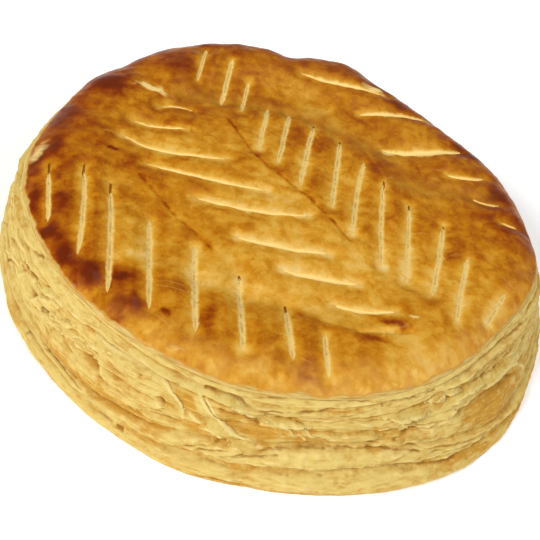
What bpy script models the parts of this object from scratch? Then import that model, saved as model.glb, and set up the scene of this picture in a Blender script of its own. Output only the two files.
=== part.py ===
"""A galette des rois: a round puff pastry pie, shut and uncut, scored with rows of knife cuts.

It is one solid. Its browned top rides up into a puffed roll along the rim, the cuts lie in rows
on either side of slanting spines, and the side is a wall of pastry layers that bulge and split.
Metres, +Z up, with the origin at the middle of the flat underside.
"""

from math import cos, exp, radians, sin

import bmesh
import bpy
import numpy as np

MM = 0.001

# The pie as a whole.
RIM_RADIUS = 110 * MM  # middle of the top to its rim
RIM_HEIGHT = 37 * MM  # top above the table, before it rolls down at the rim
FOOT_RADIUS = 124 * MM  # widest, low on the side
FOOT_TUCK = 7 * MM  # how far the underside draws in from the widest part
FOOT_CURL = (4 * MM, 1.0 * MM)  # its edge curls up: this far out from the flat, this high
RIM_ROUNDING = 3 * MM  # height over which the top rolls down into the side
ROUNDING_FROM = 0.91  # share of the rim's radius where that roll begins
TOP_SLIDE = (-5.5 * MM, 3.6 * MM)  # the top crept sideways as the layers rose
TURN_STEPS = 90

# Lines that run round the side, as shares of its height, each named for the edge it makes.
FOOT, LIP, SEAM, FOLD, SHELF, CRUST, RIM = 0.0, 0.16, 0.29, 0.55, 0.80, 0.90, 1.0
WALL_LINES = (FOOT, LIP, SEAM, FOLD, SHELF, CRUST, RIM)

# Between each line and the next the layers swell, and at the line they part.
SWELLS = (2.0 * MM, 1.6 * MM, 1.2 * MM, 0.6 * MM, 1.4 * MM, 0.8 * MM)
CREVICES = (1.4 * MM, 1.8 * MM, 1.4 * MM, 2.4 * MM, 1.0 * MM)
CREVICE_HALF_WIDTH = 0.022  # share of the side's height

# No line runs level or evenly deep. Each wanders up and down in its own number of waves round the
# pie, and the layers swell and part more here and less there.
LINE_WAVES = (0, 3, 7, 5, 6, 4, 0)
LINE_WANDER = 0.018
SWELL_WAVES, SWELL_TWIST, SWELL_CHANGE = 5, 11.0, 0.45
LEAST_BAND = 0.085  # share of the side's height that the lowest bands keep

# The seam of the two sheets climbs where steam lifted it: at an angle, this wide, this much higher.
SEAM_HUMPS = ((-72, 26, 0.26), (35, 30, 0.18), (118, 24, 0.12), (172, 34, 0.22))
SEAM_DIPS = ((-28, 20, -0.10), (-125, 24, -0.07), (75, 20, -0.07))

# Where the rim stands out or in, as shares of its radius, and the foot likewise.
RIM_SWELLS = ((122, 18, 0.042), (85, 9, 0.050), (57, 20, -0.024), (20, 16, 0.016), (-3, 12, 0.036),
              (-32, 16, -0.018), (178, 12, -0.016), (-90, 10, 0.008), (-157, 12, 0.008), (101, 4, -0.020))
FOOT_SWELLS = ((-40, 18, 0.020), (-8, 14, -0.014), (-98, 10, 0.014), (-136, 16, -0.012), (60, 30, -0.016),
               (170, 22, 0.016))

# The top: a puffed roll inside the rim, a valley inside that, and a low crown in the middle.
ROLL_AT, ROLL_WIDTH = 0.83, 0.15  # shares of the rim's radius
ROLL_HEIGHT = 2.0 * MM
FAR_PUFF_HEIGHT, FAR_PUFF_ANGLE, FAR_PUFF_SPREAD = 4.0 * MM, 102, 48
VALLEY_AT, VALLEY_WIDTH, VALLEY_DEPTH = 0.60, 0.12, 1.4 * MM
CROWN_HEIGHT = 1.6 * MM
RIM_DIPS = ((55, 20, -2.0 * MM), (101, 5, -1.4 * MM), (150, 6, -1.4 * MM), (170, 8, -1.0 * MM))
TOP_RINGS = (0.985, 0.955, 0.915, 0.86, 0.80, 0.73, 0.66, 0.59, 0.50, 0.39, 0.27, 0.14)

# The cuts run in rows beside spines that slant this way, round a middle a little in front of the
# top's own. In shares of the scored radius, each row has the place of its first cut along the
# spine, the step to the next, its distance across at the middle, how that distance drifts along
# the row, and its cuts' angle and lengths.
SPINE_ANGLE = radians(-40)
SCORED_RADIUS = 108.5 * MM
SCORED_MIDDLE = (-5.5 * MM, -0.4 * MM)
CUT_ROWS = (
    (-0.46, 0.215, 0.745, 0.02, 16, (0.38, 0.30, 0.38, 0.21, 0.12)),
    (-0.85, 0.145, 0.22, 0.04, 91, (0.26, 0.35, 0.23, 0.30, 0.37, 0.45, 0.44, 0.48, 0.48, 0.40, 0.37, 0.36, 0.18)),
    (-0.58, 0.200, -0.235, 0.02, 9, (0.25, 0.43, 0.47, 0.43, 0.34, 0.30, 0.21)),
    (-0.33, 0.151, -0.740, 0.41, -71, (0.31, 0.41, 0.52, 0.42, 0.38, 0.33, 0.22, 0.15)),
)
CUT_HALF_WIDTH = 1.6 * MM
CUT_DEPTH = 1.6 * MM
CUT_LIFT = 0.35 * MM  # the blade's widest line lies this far over the top


def bell(distance, width):
    """1 at no distance, falling smoothly to nothing over about two widths."""
    return exp(-((distance / width) ** 2))


def around(angle, swells):
    """The sum of the swellings (centre, width, amount) at this angle, all in degrees."""
    total = 0.0
    for centre, width, amount in swells:
        apart = (angle - centre + 180) % 360 - 180
        total += amount * bell(apart, width)
    return total


def rim_radius(angle):
    return RIM_RADIUS * (1 + around(angle, RIM_SWELLS))


def foot_radius(angle):
    return FOOT_RADIUS * (1 + around(angle, FOOT_SWELLS))


def wall_lines(angle):
    """The height of each line of the side at this angle, as shares of the rim's height."""
    seam = SEAM + around(angle, SEAM_HUMPS) + around(angle, SEAM_DIPS)
    seam = max(seam, 2 * LEAST_BAND)
    lip = max(seam * LIP / SEAM, LEAST_BAND)
    fold = seam + (SHELF - seam) * (FOLD - SEAM) / (SHELF - SEAM)
    levels = (FOOT, lip, seam, fold, SHELF, CRUST, RIM)
    wander = [LINE_WANDER * sin(radians(waves * angle) + waves) if waves else 0.0 for waves in LINE_WAVES]
    return [level + up for level, up in zip(levels, wander)]


def swelling(angle, share):
    """How much more or less than usual the layers swell and part here."""
    return 1 + SWELL_CHANGE * sin(radians(SWELL_WAVES * angle) + SWELL_TWIST * share)


def top_height(share, angle):
    """The top's height over the table, at a share of the rim's radius and an angle."""
    apart = (angle - FAR_PUFF_ANGLE + 180) % 360 - 180
    far = bell(apart, FAR_PUFF_SPREAD)
    roll = (ROLL_HEIGHT + FAR_PUFF_HEIGHT * far) * bell(share - ROLL_AT, ROLL_WIDTH)
    valley = VALLEY_DEPTH * (0.6 + far) * bell(share - VALLEY_AT, VALLEY_WIDTH)
    crown = CROWN_HEIGHT * (1 - share**2)
    rounding = RIM_ROUNDING * max(0.0, (share - ROUNDING_FROM) / (1 - ROUNDING_FROM)) ** 2
    return RIM_HEIGHT + roll - valley + crown + around(angle, RIM_DIPS) * share**3 - rounding


def side_profile():
    """Points (radius, height share) down the side of the plain turned pie, rim to foot."""
    points = []
    spans = list(zip(WALL_LINES, WALL_LINES[1:], SWELLS))
    for place, (low, high, swell) in reversed(list(enumerate(spans))):
        top, bottom = high - CREVICE_HALF_WIDTH, low + CREVICE_HALF_WIDTH
        for share, out in ((top, 0.3), ((top + bottom) / 2, 1.0), (bottom, 0.3)):
            points.append((swell * out, share))
        if place:
            points.append((-CREVICES[place - 1], low))
    return points


def plain_profile():
    """The whole profile of the turned pie: the top from its middle outwards, the side, the underside."""
    top = [(RIM_RADIUS * share, RIM_HEIGHT) for share in reversed(TOP_RINGS)]
    rim = [(RIM_RADIUS, RIM_HEIGHT)]
    side = []
    for out, share in side_profile():
        lean = RIM_RADIUS + (FOOT_RADIUS - RIM_RADIUS) * (1 - share)
        side.append((lean + out, RIM_HEIGHT * share))
    flat_edge = FOOT_RADIUS - FOOT_TUCK
    curl = (flat_edge + FOOT_CURL[0], FOOT_CURL[1])
    return [(0.0, RIM_HEIGHT), *top, *rim, *side, curl, (flat_edge, 0.0), (0.0, 0.0)]


def turned_pie():
    """The plain pie, round and even, as a profile that a Screw modifier turns."""
    mesh = bpy.data.meshes.new("plain_pie")
    line = bmesh.new()
    points = [line.verts.new((radius, 0.0, height)) for radius, height in plain_profile()]
    for upper, lower in zip(points, points[1:]):
        line.edges.new((upper, lower))
    line.to_mesh(mesh)
    line.free()
    pie = bpy.data.objects.new("plain_pie", mesh)
    bpy.context.scene.collection.objects.link(pie)
    turn = pie.modifiers.new("Turn", "SCREW")
    turn.axis = "Z"
    turn.steps = turn.render_steps = TURN_STEPS
    turn.use_merge_vertices = True
    turn.merge_threshold = 0.00001
    return pie


def risen(point):
    """Where a point of the plain pie ends up once the pastry has risen unevenly."""
    x, y, z = point
    radius = float(np.hypot(x, y))
    angle = float(np.degrees(np.arctan2(y, x)))
    share = z / RIM_HEIGHT
    if share < 1e-4:
        return x, y, 0.0
    if share > 1 - 1e-4 and radius < RIM_RADIUS * 1.0001:
        out = radius / RIM_RADIUS
        reach = rim_radius(angle) * out
        height = top_height(out, angle)
        slide = 1.0
    else:
        plain = RIM_RADIUS + (FOOT_RADIUS - RIM_RADIUS) * (1 - share)
        lean = rim_radius(angle) + (foot_radius(angle) - rim_radius(angle)) * (1 - share)
        reach = lean + (radius - plain) * swelling(angle, share)
        level = float(np.interp(share, WALL_LINES, wall_lines(angle)))
        height = top_height(1.0, angle) * level
        slide = share
    turn = radians(angle)
    return reach * cos(turn) + TOP_SLIDE[0] * slide, reach * sin(turn) + TOP_SLIDE[1] * slide, height


def risen_pie():
    """The turned pie made a mesh, with each point moved to where it rose."""
    plain = turned_pie()
    graph = bpy.context.evaluated_depsgraph_get()
    mesh = bpy.data.meshes.new_from_object(plain.evaluated_get(graph))
    bpy.data.objects.remove(plain)
    for vertex in mesh.vertices:
        vertex.co = risen(vertex.co)
    mesh.name = "galette"
    mesh.shade_smooth()
    mesh.set_sharp_from_angle(angle=radians(50))
    return bpy.data.objects.new("galette", mesh)


def finish(name, colour, roughness):
    """A plain material."""
    material = bpy.data.materials.new(name)
    material.use_nodes = True
    surface = material.node_tree.nodes["Principled BSDF"]
    surface.inputs["Base Color"].default_value = (*colour, 1.0)
    surface.inputs["Roughness"].default_value = roughness
    surface.inputs["Metallic"].default_value = 0.0
    return material


def dress(pie):
    """Browned crust on the top, pale layers on the side and the underside."""
    pie.data.materials.append(finish("pale_layers", (0.80, 0.56, 0.24), 0.7))
    pie.data.materials.append(finish("browned_crust", (0.60, 0.27, 0.055), 0.4))
    for face in pie.data.polygons:
        on_top = face.normal.z > 0.5 and face.center.z > RIM_HEIGHT * CRUST
        face.material_index = 1 if on_top else 0


def cut_places():
    """Every cut of the top as (middle, angle, length), in metres."""
    for first, step, across, drift, angle, lengths in CUT_ROWS:
        for number, length in enumerate(lengths):
            along = first + step * number
            over = across + drift * along
            x = along * cos(SPINE_ANGLE) - over * sin(SPINE_ANGLE)
            y = along * sin(SPINE_ANGLE) + over * cos(SPINE_ANGLE)
            middle = SCORED_MIDDLE[0] + x * SCORED_RADIUS, SCORED_MIDDLE[1] + y * SCORED_RADIUS
            yield middle, radians(angle), length * SCORED_RADIUS


def height_at(x, y):
    """The top's height over the table at a place on it."""
    x, y = x - TOP_SLIDE[0], y - TOP_SLIDE[1]
    angle = float(np.degrees(np.arctan2(y, x)))
    share = float(np.hypot(x, y)) / rim_radius(angle)
    return top_height(min(share, 1.0), angle)


def cut_blade(number, middle, angle, length):
    """A slim spindle laid along one cut and bent to follow the top: what it takes away is the cut."""
    mesh = bpy.data.meshes.new(f"blade_{number}")
    spindle = bmesh.new()
    bmesh.ops.create_uvsphere(spindle, u_segments=4, v_segments=8, radius=1.0)
    for vertex in spindle.verts:
        # The sphere's poles, on Z, become the two ends of the cut.
        run = vertex.co.z * length / 2
        side = vertex.co.y * CUT_HALF_WIDTH
        x = middle[0] + run * cos(angle) - side * sin(angle)
        y = middle[1] + run * sin(angle) + side * cos(angle)
        vertex.co = (x, y, height_at(x, y) + CUT_LIFT - vertex.co.x * CUT_DEPTH)
    spindle.to_mesh(mesh)
    spindle.free()
    blade = bpy.data.objects.new(f"blade_{number}", mesh)
    blade.hide_render = True
    blade.display_type = "WIRE"
    return blade


def collection(name):
    made = bpy.data.collections.new(name)
    bpy.context.scene.collection.children.link(made)
    return made


def main():
    for old in list(bpy.data.objects):
        bpy.data.objects.remove(old)
    galette_parts, cutters = collection("galette_des_rois"), collection("cutters")
    pie = risen_pie()
    galette_parts.objects.link(pie)
    dress(pie)
    for number, (middle, angle, length) in enumerate(cut_places()):
        cutters.objects.link(cut_blade(number, middle, angle, length))
    scoring = pie.modifiers.new("Scoring", "BOOLEAN")
    scoring.operand_type = "COLLECTION"
    scoring.collection = cutters
    scoring.operation = "DIFFERENCE"
    scoring.solver = "EXACT"


main()
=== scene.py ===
# %% [markdown]
# # A galette des rois
#
# A galette des rois is a round puff pastry pie, shut and baked whole. A baker scores its glazed
# top with a knife, so it opens into pale cuts as it rises, and its side splits into leaves.
#
# This script dresses a plain solid pie that is already at its real size. It makes a browned
# crust with real knife cuts, a leafy side, loose leaves that lean off it, and a baked base.

# %% The packed solid as the frame
from math import cos, pi, radians, sin, tau

import bpy
import numpy as np
from mathutils import Matrix, Vector
from mathutils.geometry import delaunay_2d_cdt


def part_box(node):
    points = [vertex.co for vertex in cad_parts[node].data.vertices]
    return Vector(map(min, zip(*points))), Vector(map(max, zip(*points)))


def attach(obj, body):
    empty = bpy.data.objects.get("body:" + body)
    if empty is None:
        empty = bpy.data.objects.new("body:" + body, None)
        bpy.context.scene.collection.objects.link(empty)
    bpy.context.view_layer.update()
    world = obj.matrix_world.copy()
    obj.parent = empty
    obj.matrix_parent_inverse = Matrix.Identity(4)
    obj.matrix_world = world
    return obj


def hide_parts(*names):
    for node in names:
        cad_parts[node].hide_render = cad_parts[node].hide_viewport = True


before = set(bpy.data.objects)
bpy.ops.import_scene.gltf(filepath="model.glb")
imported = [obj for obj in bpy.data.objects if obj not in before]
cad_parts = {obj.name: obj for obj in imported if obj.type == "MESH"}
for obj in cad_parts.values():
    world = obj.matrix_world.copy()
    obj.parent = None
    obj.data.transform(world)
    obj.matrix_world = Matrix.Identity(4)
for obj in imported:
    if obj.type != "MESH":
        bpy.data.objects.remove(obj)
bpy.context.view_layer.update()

LOW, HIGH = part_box("galette")
print("solid pie:", [round(1000 * side, 1) for side in HIGH - LOW], "mm")

# %% [markdown]
# ## Sizes
#
# Everything hangs on three sizes of the solid: the rim's radius, the height of the top and the
# radius of the foot. They are shares of its width and height, so the looks grow with the solid.

# %% Sizes of the pie
MM = 0.001
WIDTH, HEIGHT = HIGH.x - LOW.x, HIGH.z

FOOT_RADIUS = 0.495 * WIDTH
RIM_RADIUS = 0.439 * WIDTH
TOP_LEVEL = 0.860 * HEIGHT  # the top before it rolls down at the rim
RIM_ROUNDING, ROUNDING_FROM = 3 * MM, 0.91
TOP_SLIDE = (-5.5 * MM, 3.6 * MM)  # the top crept sideways as the layers rose
print("rim", round(RIM_RADIUS / MM, 1), "foot", round(FOOT_RADIUS / MM, 1), "top", round(TOP_LEVEL / MM, 1))

# %% [markdown]
# ## The uneven round
#
# No baked pie is a true circle. Its rim and foot stand out here and in there, so each is a
# circle plus a few soft swellings, each with a place round the pie, a width and an amount.
# A bell curve makes a swelling that fades without a kink.

# %% Rim and foot
RIM_SWELLS = ((122, 18, 0.042), (85, 9, 0.050), (57, 20, -0.024), (20, 16, 0.016), (-3, 12, 0.036),
              (-32, 16, -0.018), (178, 12, -0.016), (-90, 10, 0.008), (-157, 12, 0.008), (101, 4, -0.020))
FOOT_SWELLS = ((-40, 18, 0.020), (-8, 14, -0.014), (-98, 10, 0.014), (-136, 16, -0.012), (60, 30, -0.016),
               (170, 22, 0.016))


def bell(distance, width):
    """1 at no distance, falling smoothly to nothing over about two widths."""
    return np.exp(-((distance / width) ** 2))


def turned(angle, centre):
    """How far an angle is from a centre, in degrees, the short way round."""
    return (angle - centre + 180) % 360 - 180


def around(angle, swells):
    """The sum of the swellings (centre, width, amount) at these angles."""
    return sum(amount * bell(turned(angle, centre), width) for centre, width, amount in swells)


def rim_radius(angle):
    return RIM_RADIUS * (1 + around(angle, RIM_SWELLS))


def foot_radius(angle):
    return FOOT_RADIUS * (1 + around(angle, FOOT_SWELLS))


print("rim radius by quarter:", (rim_radius(np.arange(0, 360, 90)) / MM).round(1))

# %% [markdown]
# ## Seeded unevenness
#
# Risen dough is uneven at every scale. Gradient noise gives that: a grid of random slopes,
# blended smoothly. The grid wraps round, so a pattern that runs round the pie meets itself
# with no seam, and the seed makes each run the same.

# %% Soft noise
NOISE_ROWS = 64


def soft_noise(across, along, seed, columns=64):
    """Smooth noise from about -1 to 1, over places given in grid cells."""
    slope = np.random.default_rng(seed).uniform(0, tau, (columns, NOISE_ROWS))
    column, row = np.floor(across).astype(int), np.floor(along).astype(int)
    u, v = across - column, along - row

    def pull(right, up):
        turn = slope[(column + right) % columns, (row + up) % NOISE_ROWS]
        return np.cos(turn) * (u - right) + np.sin(turn) * (v - up)

    ease_u, ease_v = (t**3 * (t * (6 * t - 15) + 10) for t in (u, v))
    below = pull(0, 0) + ease_u * (pull(1, 0) - pull(0, 0))
    above = pull(0, 1) + ease_u * (pull(1, 1) - pull(0, 1))
    return 1.5 * (below + ease_v * (above - below))


def dough(x, y, size, seed):
    """Noise over the top with lumps of this size in mm."""
    return soft_noise(x / (size * MM), y / (size * MM), seed)


def doughs(x, y, *lumps):
    """The sum of such noises, each given by its size in mm, its amount and its seed."""
    return sum(amount * dough(x, y, size, seed) for size, amount, seed in lumps)


def round_noise(angle, level, waves, seed):
    """Noise over the side: so many waves round the pie, and one cell for each unit of level."""
    return soft_noise(angle / 360 * waves, level, seed, waves)


print("soft noise at three places:", soft_noise(np.array([0.5, 1.5, 2.5]), 0.5, 1).round(2))

# %% [markdown]
# ## The top's main form
#
# The top rides up into a puffed roll inside the rim, highest at the far side, and sinks to a
# valley round a low crown. Formulas in the distance from the middle and the angle give this, the
# same ones as in the solid, so the dressed pie and the solid keep one outline.

# %% Main form of the top
ROLL_AT, ROLL_WIDTH, ROLL_HEIGHT = 0.83, 0.15, 2.0 * MM
FAR_PUFF_HEIGHT, FAR_PUFF_ANGLE, FAR_PUFF_SPREAD = 4.0 * MM, 102, 48
VALLEY_AT, VALLEY_WIDTH, VALLEY_DEPTH = 0.60, 0.12, 1.4 * MM
CROWN_HEIGHT = 1.6 * MM
RIM_DIPS = ((55, 20, -2.0 * MM), (101, 5, -1.4 * MM), (150, 6, -1.4 * MM), (170, 8, -1.0 * MM))


def top_height(share, angle):
    """The top's height over the table, at a share of the rim's radius and an angle."""
    far = bell(turned(angle, FAR_PUFF_ANGLE), FAR_PUFF_SPREAD)
    roll = (ROLL_HEIGHT + FAR_PUFF_HEIGHT * far) * bell(share - ROLL_AT, ROLL_WIDTH)
    valley = VALLEY_DEPTH * (0.6 + far) * bell(share - VALLEY_AT, VALLEY_WIDTH)
    crown = CROWN_HEIGHT * (1 - share**2)
    rounding = RIM_ROUNDING * np.clip((share - ROUNDING_FROM) / (1 - ROUNDING_FROM), 0, None) ** 2
    return TOP_LEVEL + roll - valley + crown + around(angle, RIM_DIPS) * share**3 - rounding


def polar(x, y):
    """Share of the rim's radius and angle of a place on the top."""
    x, y = x - TOP_SLIDE[0], y - TOP_SLIDE[1]
    angle = np.degrees(np.arctan2(y, x))
    return np.hypot(x, y) / rim_radius(angle), angle


middle_and_rim = top_height(np.array([0.0, ROLL_AT, 1.0]), FAR_PUFF_ANGLE)
print("top at the middle, far roll and far rim:", (middle_and_rim / MM).round(1), "mm")

# %% [markdown]
# ## The knife cuts
#
# The baker laid four rows of strokes on either side of slanting spines: a far row along the
# roll, an upright row, a level row and a near row. Each stroke is a slightly bowed line, given
# by its two ends in per cent of the scored radius, and each opened to its own width.
# The same description serves three jobs: where mesh points go, how deep the groove is, and
# where the colour is pale.

# %% Knife cuts
SCORED_RADIUS = 108.5 * MM
SCORED_MIDDLE = (-5.5 * MM, -0.4 * MM)
CUT_HALF_WIDTH = 1.15 * MM
CUT_DEPTH = 0.7 * MM
# Each stroke: start x, start y, end x, end y, bow to its left, openness, and how far (mm) its
# start stayed a closed dark slit.
FAR_ROW = (
    (-10.5, 82.5, 31, 85.5, 0.2, 1.3, 0), (21, 68, 55, 79, 0.4, 1.5, 0), (34.5, 48, 70.5, 61, -2.4, 2.1, 0),
    (64.5, 40.5, 81.5, 46, -2.2, 1.1, 0), (76.5, 30, 88.5, 30, -2.6, 0.8, 0), (88, 17.5, 96.5, 18.5, -0.4, 0.7, 0),
)
UPRIGHT_ROW = (
    (-55.5, 79.5, -53, 55, 0, 0.95, 0), (-42, 76, -39.5, 48, 0, 1.25, 0), (-31.5, 67, -29.5, 44, 0, 1, 0),
    (-19, 53.5, -16.5, 20, 0, 1.1, 0), (-9, 54, -7, 14, 0, 1.2, 0), (3, 47.5, 4.5, 4, -0.3, 1.3, 2),
    (16, 42.5, 19, -4, 0, 1.3, 2), (28, 32.5, 29, -15.5, -0.6, 1.2, 0), (38, 21, 42.5, -27.5, -0.8, 1.15, 3),
    (50, 10.5, 52.5, -32.5, 0.2, 1.05, 3), (65, 5.5, 62.5, -36, 0.3, 1.25, 1.5), (75.5, -10, 72, -47, -0.4, 1.15, 0),
    (90.5, -23.5, 84, -41, 0, 1, 0),
)
LEVEL_ROW = (
    (-63, 29.5, -48.5, 35, 2.1, 0.75, 0), (-70, 14.5, -47.5, 20, 0, 0.9, 0), (-70.5, 3, -27, 7.5, -2.6, 1.15, 0),
    (-56.5, -9, -8, -4.5, -1.3, 1.15, 0), (-33, -20.5, 11, -12.5, -2.2, 1.15, 0),
    (-13, -35.5, 21.5, -30, -0.9, 1.25, 0), (6, -45, 35, -40.5, -1, 1.35, 0), (27.5, -54, 49.5, -50, -1.5, 1.15, 0),
)
NEAR_ROW = (
    (-86.5, -31.5, -77.5, -54.5, 0, 0.95, 7), (-75, -26.5, -62, -66.5, 0.9, 1.05, 5.5),
    (-62.5, -32, -47, -78.5, 0.4, 1.2, 6.5), (-45, -39.5, -32, -81, 0, 1.15, 0), (-26, -46, -15, -85, -0.2, 1.3, 0),
    (-7, -55, 1.5, -87, -0.1, 1.25, 2), (12, -64, 18, -85, -0.5, 1.2, 4), (26.5, -71, 30.5, -86.5, -0.3, 1.1, 0),
)
# Fine pale wrinkles of the skin: start x, start y, end x, end y, bow.
WRINKLES = (
    (66, -14, 73, -10, 1), (74, -37, 82, -36, 1.2), (86, -17, 94, -20, 1), (52, -4, 57, -2, 0), (38, 24, 42, 28, 0.8),
    (38, -62, 55, -55.5, -0.8), (47, -70, 58, -67, 1), (10, -77, 14, -76, 0), (20, -84, 24, -85, 0),
    (-32, -71, -22, -70, 0), (-32, -68.5, -23, -67.5, 0), (-58, -7, -50, -12, -1), (-78, 0, -71, 3, 0),
    (-79, 15, -74, 13, 0), (58, -76, 68, -72, 0.6), (80, -55, 86, -47, -0.8), (56, 40, 63, 42, 0.6),
    (-30, -83, -24, -86, 0),
)
SLIT_OPENNESS, WRINKLE_OPENNESS = 0.38, 0.30
print(sum(map(len, (FAR_ROW, UPRIGHT_ROW, LEVEL_ROW, NEAR_ROW))), "strokes and", len(WRINKLES), "wrinkles")

# %% One cut
# Kinds of line: a crisp pale cut, a wide worn one, a dark closed one, and a wrinkle.
CRISP, WORN, SLIT, WRINKLE = 1.0, 0.0, -1.0, 2.0


class Cut:
    """One knife stroke on the top, in metres."""

    def __init__(self, number, kind, x0, y0, x1, y1, bow, openness):
        start, end = np.array([[x0, y0], [x1, y1]]) / 100 * SCORED_RADIUS + SCORED_MIDDLE
        self.number, self.kind, self.start = number, kind, start
        self.length = float(np.hypot(*(end - start)))
        self.way = (end - start) / self.length
        self.left = np.array([-self.way[1], self.way[0]])
        self.bow = bow / 100 * SCORED_RADIUS
        self.open = openness * CUT_HALF_WIDTH

    def shake(self, reach, size, seed):
        """Unevenness along the stroke, in waves of this size in mm."""
        return soft_noise(reach * self.length / (size * MM), self.number, seed, 16 if size > 5 else 32)

    def drift(self, reach):
        """How far left of its straight line the stroke runs, at a reach from 0 to 1 along it."""
        return self.bow * 4 * reach * (1 - reach) + 0.25 * MM * self.shake(reach, 9, 5)

    def half_width(self, reach):
        """Half the width of the opening along the stroke, closing to a point at both ends."""
        blunt = 2.2 if self.kind == CRISP else 7.0  # a worn cut keeps its width to a blunt end
        middle = np.clip(1 - np.abs(2 * reach - 1) ** blunt, 0, 1) ** 0.6
        return self.open * middle * (1 + 0.22 * self.shake(reach, 4, 6))

    def point(self, reach, aside):
        """Places at a reach along the stroke and a distance to its left."""
        return self.start + np.outer(reach * self.length, self.way) + np.outer(aside + self.drift(reach), self.left)

    def measure(self, x, y):
        """Reach along the stroke, signed distance to its left, and true distance, of places on the top."""
        dx, dy = x - self.start[0], y - self.start[1]
        reach = (dx * self.way[0] + dy * self.way[1]) / self.length
        inside = np.clip(reach, 0, 1)
        aside = dx * self.left[0] + dy * self.left[1] - self.drift(inside)
        return reach, aside, np.hypot(aside, (reach - inside) * self.length)


first_cut = Cut(0, CRISP, *FAR_ROW[0][:-1])
print("first cut:", round(first_cut.length / MM), "mm long,", round(2 * first_cut.open / MM, 1), "mm wide")

# %% All the cuts
CUTS = []
for row, kind in ((FAR_ROW, CRISP), (LEVEL_ROW, CRISP), (UPRIGHT_ROW, WORN), (NEAR_ROW, WORN)):
    for *stroke, slit in row:
        CUTS.append(Cut(len(CUTS), kind, *stroke))
        if slit:  # it starts before the cut, in the same line, and overlaps it a little
            start, end = np.array([stroke[:2], stroke[2:4]])
            back = 100 * slit * MM / SCORED_RADIUS / np.hypot(*(end - start))
            closed = (*(start - (end - start) * back), *(start + (end - start) * 0.06))
            CUTS.append(Cut(len(CUTS), SLIT, *closed, 0.0, SLIT_OPENNESS))
for wrinkle in WRINKLES:
    CUTS.append(Cut(len(CUTS), WRINKLE, *wrinkle, WRINKLE_OPENNESS))
lengths = [round(cut.length / MM) for cut in CUTS]
print(len(CUTS), "cuts, from", min(lengths), "to", max(lengths), "mm long")


def nearest_cut(x, y):
    """For places on the top: distance to the nearest cut, that over its half width, and its kind."""
    distance, openness, kind = np.full(len(x), 1.0), np.full(len(x), 9.0), np.zeros(len(x))
    for cut in CUTS:
        reach, _, apart = cut.measure(x, y)
        half = np.maximum(cut.half_width(np.clip(reach, 0, 1)), 0.12 * MM)
        closer = apart / half < openness
        openness = np.where(closer, apart / half, openness)
        kind = np.where(closer, cut.kind, kind)
        if cut.kind != WRINKLE:
            distance = np.minimum(distance, apart)
    return distance, openness, kind


# %% [markdown]
# ## Creases and valleys
#
# Besides the cuts, the top has finer marks: the two spines pressed with the back of the knife,
# a wrinkle at the front, and shallow valleys where the pastry sank. All are soft grooves along
# straight runs, so one function serves them, with the width telling a crease from a valley.

# %% Creases and valleys
# Each: start x, start y, end x, end y in per cent of the scored radius, depth and half width in mm.
CREASES = (
    (-34, 35, -16, 14, 0.5, 0.6), (-16, 14, 9, -2, 0.5, 0.6), (9, -2, 29, -20, 0.45, 0.6),
    (-56, -17, -38, -33, 0.45, 0.6), (-38, -33, -19, -46, 0.5, 0.6), (38, -64.5, 56, -57.5, 1.2, 0.9),
    (24, -64, 38, -64.5, 0.4, 1.2), (28, 42, 37, 26, 0.4, 0.7),
)
SPINES = CREASES[:5]
VALLEYS = (
    (-55, 42, -39, 50, 0.7, 5), (-39, 50, 0, 55, 0.9, 5), (0, 55, 36, 42, 0.9, 6), (44, 28, 80, 31, 1, 6),
    (-22, -61, 0, -61, 0.8, 5), (0, -61, 56, -60, 0.9, 5), (57, -30, 75, -22, 0.6, 7), (-80, -10, -60, -20, 0.5, 7),
)
FAR_VALLEYS = VALLEYS[:4]


def along_run(x, y, x0, y0, x1, y1):
    """Distance from places to a straight run between two points."""
    run_x, run_y = x1 - x0, y1 - y0
    reach = np.clip(((x - x0) * run_x + (y - y0) * run_y) / (run_x**2 + run_y**2), 0, 1)
    return np.hypot(x - x0 - reach * run_x, y - y0 - reach * run_y)


def scored(x, y):
    """Places in metres as per cent of the scored radius."""
    return tuple(100 * (place - middle) / SCORED_RADIUS for place, middle in zip((x, y), SCORED_MIDDLE))


def sunk(x, y, runs):
    """How deep in mm the grooves of these runs go."""
    u, v = scored(x, y)
    return sum(depth * bell(along_run(u, v, *ends) / 100 * SCORED_RADIUS, half * MM) for *ends, depth, half in runs)


print(len(CREASES), "creases and", len(VALLEYS), "valleys")

# %% [markdown]
# ## The crust's height
#
# The height at a place is the main form, less the valleys and cuts, plus lumps of dough from
# 25 mm down to 2 mm. Between two cuts the pastry swells into a soft strip, because it is held
# down along each cut. The knife opened a rounded groove with a slightly raised lip.

# %% Height of the crust
STRIP_SWELL, STRIP_FADE = 1.2 * MM, 3.8 * MM
LIP_HEIGHT, LIP_WIDTH = 0.20 * MM, 0.45 * MM
TIP_DEPTH = 0.12 * MM  # a finer line where the knife's tip went
LUMPS = ((25, 0.60, 11), (11, 0.42, 12), (5, 0.20, 13), (2.3, 0.07, 14))  # size in mm, height in mm, seed
BLISTER_FROM, BLISTER_HEIGHT = 0.90, 0.35 * MM
# Bubbles that browned: x, y and half width in per cent of the scored radius, and height in mm.
BUBBLES = (
    (-74.5, -60, 3.4, 0.6), (-65, -67.5, 3.6, 0.5), (-56.5, -73, 4.5, 0.8), (-78, -44, 3, 0.5), (-87, -43, 2.6, 0.5),
    (-36, -80, 3.5, 0.4),
)


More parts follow.
